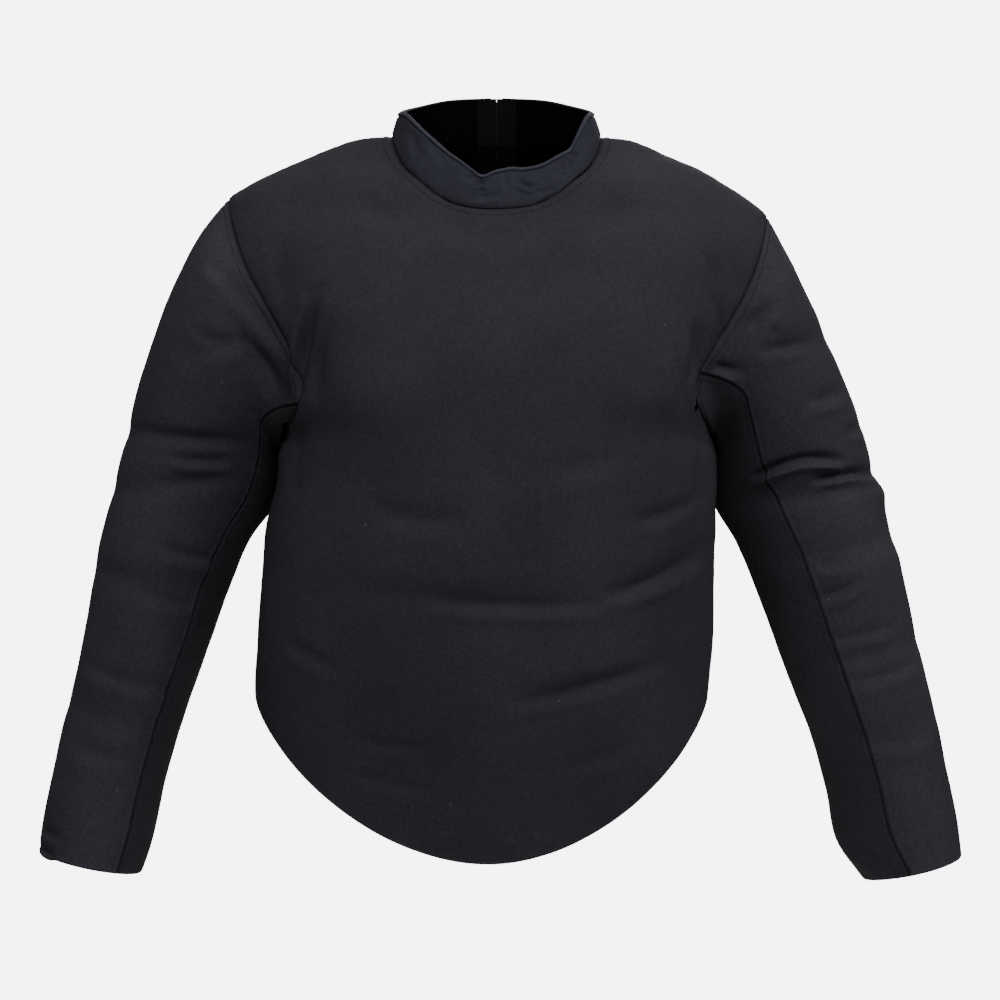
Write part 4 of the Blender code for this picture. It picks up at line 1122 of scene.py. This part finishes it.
def make_teeth(panels, material):
    """Moulded teeth, left and right in turn, between the slider and the box."""
    line, out = zip_track(panels)
    length = lengths_along(line)
    low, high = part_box("zip_chain")
    start, end = np.interp([-high[2], -low[2]], -line[:, 2], length)
    count = int((end - start) / TOOTH_PITCH)
    at = start + (np.arange(count) + 0.5) * TOOTH_PITCH
    place, up = read(at, length, line), unit(read(at, length, out))
    along = unit(np.gradient(place, axis=0))
    tooth = bmesh.new()
    bmesh.ops.create_cube(tooth, size=1)
    for vert in tooth.verts:
        vert.co = Vector([vert.co[k] * TOOTH_SIZE[k] for k in range(3)])
    bmesh.ops.bevel(tooth, geom=tooth.edges[:], offset=TOOTH_BEVEL, segments=1, affect="EDGES")
    tooth.verts.index_update()
    corners = np.array([tuple(vert.co) for vert in tooth.verts])
    loops = [[vert.index for vert in face.verts] for face in tooth.faces]
    tooth.free()
    centre = place - up * (TOOTH_SIZE[2] / 2 - TOOTH_PROUD)
    centre[:, 0] += np.where(np.arange(count) % 2, 1, -1) * TOOTH_OFFSET
    verts = (
        centre[:, None] + corners[None, :, :1] * np.array([1.0, 0, 0])
        + corners[None, :, 1:2] * along[:, None] + corners[None, :, 2:] * up[:, None]
    )
    faces = copies(loops, len(corners), count)
    strip_at = np.arange(max(start - STRIP_OVER, 0), end, STRIP_STEP)
    middle, rise = read(strip_at, length, line), unit(read(strip_at, length, out))
    strip = np.stack([
        middle + np.array([a * STRIP[0] / 2, 0, 0]) - rise * (STRIP_DEPTH - b * STRIP[1])
        for a, b in ((-1, 0), (1, 0), (1, -1), (-1, -1))
    ], axis=1)
    verts = np.concatenate([verts.reshape(-1, 3), strip.reshape(-1, 3)])
    faces += [[k + count * len(corners) for k in face] for face in tube_faces(len(strip_at), 4)]
    obj = make_mesh("zip_teeth", verts, faces, material)
    obj.data.set_sharp_from_angle(angle=HARD_ANGLE)
    recalculate(obj)
    return obj


def soften(obj, width):
    """Rounds the edges of a hard piece."""
    weld = obj.modifiers.new("weld", "WELD")
    weld.merge_threshold = MERGE
    bevel = obj.modifiers.new("bevel", "BEVEL")
    bevel.width = width
    bevel.segments = 2
    bevel.limit_method = "ANGLE"
    bevel.angle_limit = HARD_ANGLE


def dress(obj, material):
    obj.data.materials.clear()
    obj.data.materials.append(material)


# Scene

def area_light(name, place, target, size, power):
    light = bpy.data.lights.new(name, "AREA")
    light.shape = "RECTANGLE"
    light.size, light.size_y = size
    light.energy = power
    obj = new_object(name, light)
    obj.location = place
    obj.rotation_mode = "QUATERNION"
    obj.rotation_quaternion = (Vector(target) - obj.location).to_track_quat("-Z", "Y")


CAMERA_DISTANCE = 2.6
CAMERA_X = 0.0033
CAMERA_Z = -0.3431
PIXEL = 0.00094
IMAGE = 1000
SENSOR = 36
FLOOR = -1.05
FLOOR_SIZE = 2.2
SKY_HEIGHTS = (-0.6, 1.0)
SKY = (0.003, 0.26)
BACKDROP = 6.5
FLOOR_CLEAR = 0.35
FLOOR_TONES = ((0.9, 0.9, 0.9), (0.94, 0.94, 0.94))
# Name, place, what it is aimed at, size and power
LIGHTS = (
    ("key", (0.2, -1.75, 0.95), (0.0, 0, -0.2), (1.1, 0.8), 28),
    ("top", (-0.2, 0.5, 2.1), (0, 0, -0.2), (2.2, 1.0), 16),
    ("right_side", (1.9, -0.7, 0.75), (0.3, 0, -0.25), (0.8, 1.1), 19),
    ("left_side", (-1.6, -1.4, 0.5), (-0.3, 0, -0.4), (0.8, 1.1), 9),
    ("back", (0.3, 1.9, 0.9), (0, 0, -0.25), (1.2, 1.0), 24),
)


def make_camera():
    data = bpy.data.cameras.new("camera")
    data.sensor_width = SENSOR
    data.lens = SENSOR * CAMERA_DISTANCE / (PIXEL * IMAGE)
    data.clip_start, data.clip_end = 0.1, 60
    camera = new_object("camera", data)
    camera.location = (CAMERA_X, -CAMERA_DISTANCE, CAMERA_Z)
    camera.rotation_euler = (math.pi / 2, 0, 0)
    bpy.context.scene.camera = camera


def make_floor():
    bpy.ops.mesh.primitive_plane_add(size=FLOOR_SIZE, location=(0, 0, FLOOR))
    floor = bpy.context.object
    floor.name = "floor"
    shader = Shader("pale_floor", 0.9, specular=0.1)
    place = shader.place()
    shader.into("Base Color", shader.mix(shader.noise(place, 0.6), *FLOOR_TONES))
    far = shader.node("VectorMath", place, operation="LENGTH")["Value"]
    shader.into("Alpha", shader.ramp(far, FLOOR_CLEAR, FLOOR_SIZE / 2, 1.0, 0.0))
    floor.data.materials.append(shader.material)


def make_light():
    world = bpy.data.worlds.new("studio")
    bpy.context.scene.world = world
    world.use_nodes = True
    tree = world.node_tree
    up = add_node(tree, "SeparateXYZ", {0: add_node(tree, "TexCoord")["Generated"]})[2]
    glow = add_node(tree, "MapRange", enumerate((up, *SKY_HEIGHTS, *SKY)))[0]
    seen = add_node(tree, "LightPath")["Is Camera Ray"]
    strength = add_node(tree, "Mix", {0: seen, 2: glow, 3: BACKDROP})[0]
    background = tree.nodes["Background"].inputs
    background["Color"].default_value = (1, 1, 1, 1)
    tree.links.new(strength, background["Strength"])
    for light in LIGHTS:
        area_light(*light)


def make_cloth(panels):
    shells_painted_light_and_shade = {}
    # Lit and shaded copies of the shell cloth: painted light on the upper sleeves, painted shade on the
    # under sleeves
    for part, tone in PANEL_PAINTED_LIGHT_AND_SHADE.items():
        colours = (tuple(tone * value for value in colour) for colour in SHELL)
        shells_painted_light_and_shade[part] = cloth_material(f"shell_{part}", *colours, pitch=0.0011, twill=False, roughness=0.88)
    smooth = cloth_material("collar_twill", *COLLAR, pitch=0.0008, twill=True, roughness=0.72)
    # The stitches' near black is partly the black thread and partly painted shade of the stitch holes
    thread_with_painted_shade = plain_material("black_thread_with_painted_shade", BLACK_THREAD_WITH_PAINTED_SHADE, roughness=0.7, scale=1500.0, depth=0.0001, specular=0.1)
    lining_with_painted_shade = lining_with_painted_shade_material()
    own, normals = all_normals(panels)
    made = {}
    for name, panel in panels.items():
        part = name.rpartition("_")[2] if name.startswith("sleeve") else "body"
        material = smooth if name == "collar" else shells_painted_light_and_shade[part]
        made[name] = cloth_object(name, panel, own[name], normals[name], material, lining_with_painted_shade)
    threads = {name: [] for name in panels}
    for name, panel in panels.items():
        for border, offset in panel["stitched"]:
            line, out = offset_line(panel, border, offset)
            threads[name].append(thread(f"thread_{name}_{border}", line, out, thread_with_painted_shade))
        if name.startswith("back"):
            line, out = offset_line(panel, "first", ZIP_STITCH)
            threads[name].append(thread(f"thread_{name}_zip", line, out, thread_with_painted_shade))
    for name, (obj, flat) in made.items():
        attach(obj, "jacket")
        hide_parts(name)
        for piece in threads[name]:
            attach(piece, "jacket")


def make_zip(panels):
    moulded = plain_material("moulded_teeth", TEETH, roughness=0.35, scale=300.0, depth=0.0001)
    teeth = make_teeth(panels, moulded)
    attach(teeth, "jacket")
    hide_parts("zip_chain")
    metal = plain_material(
        "lacquered_metal", METAL, roughness=0.34, scale=420.0, depth=0.00008, metallic=0.85
    )
    for node in ("zip_slider", "zip_pull", "zip_box"):
        dress(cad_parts[node], metal)
        soften(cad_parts[node], METAL_BEVEL)
    tape = tape_material()
    for node in ("zip_tape_left", "zip_tape_right"):
        dress(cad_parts[node], tape)


def main():
    make_camera()
    make_floor()
    make_light()
    panels = cloth_panels()
    fold_panels(panels)
    make_cloth(panels)
    make_zip(panels)


main()
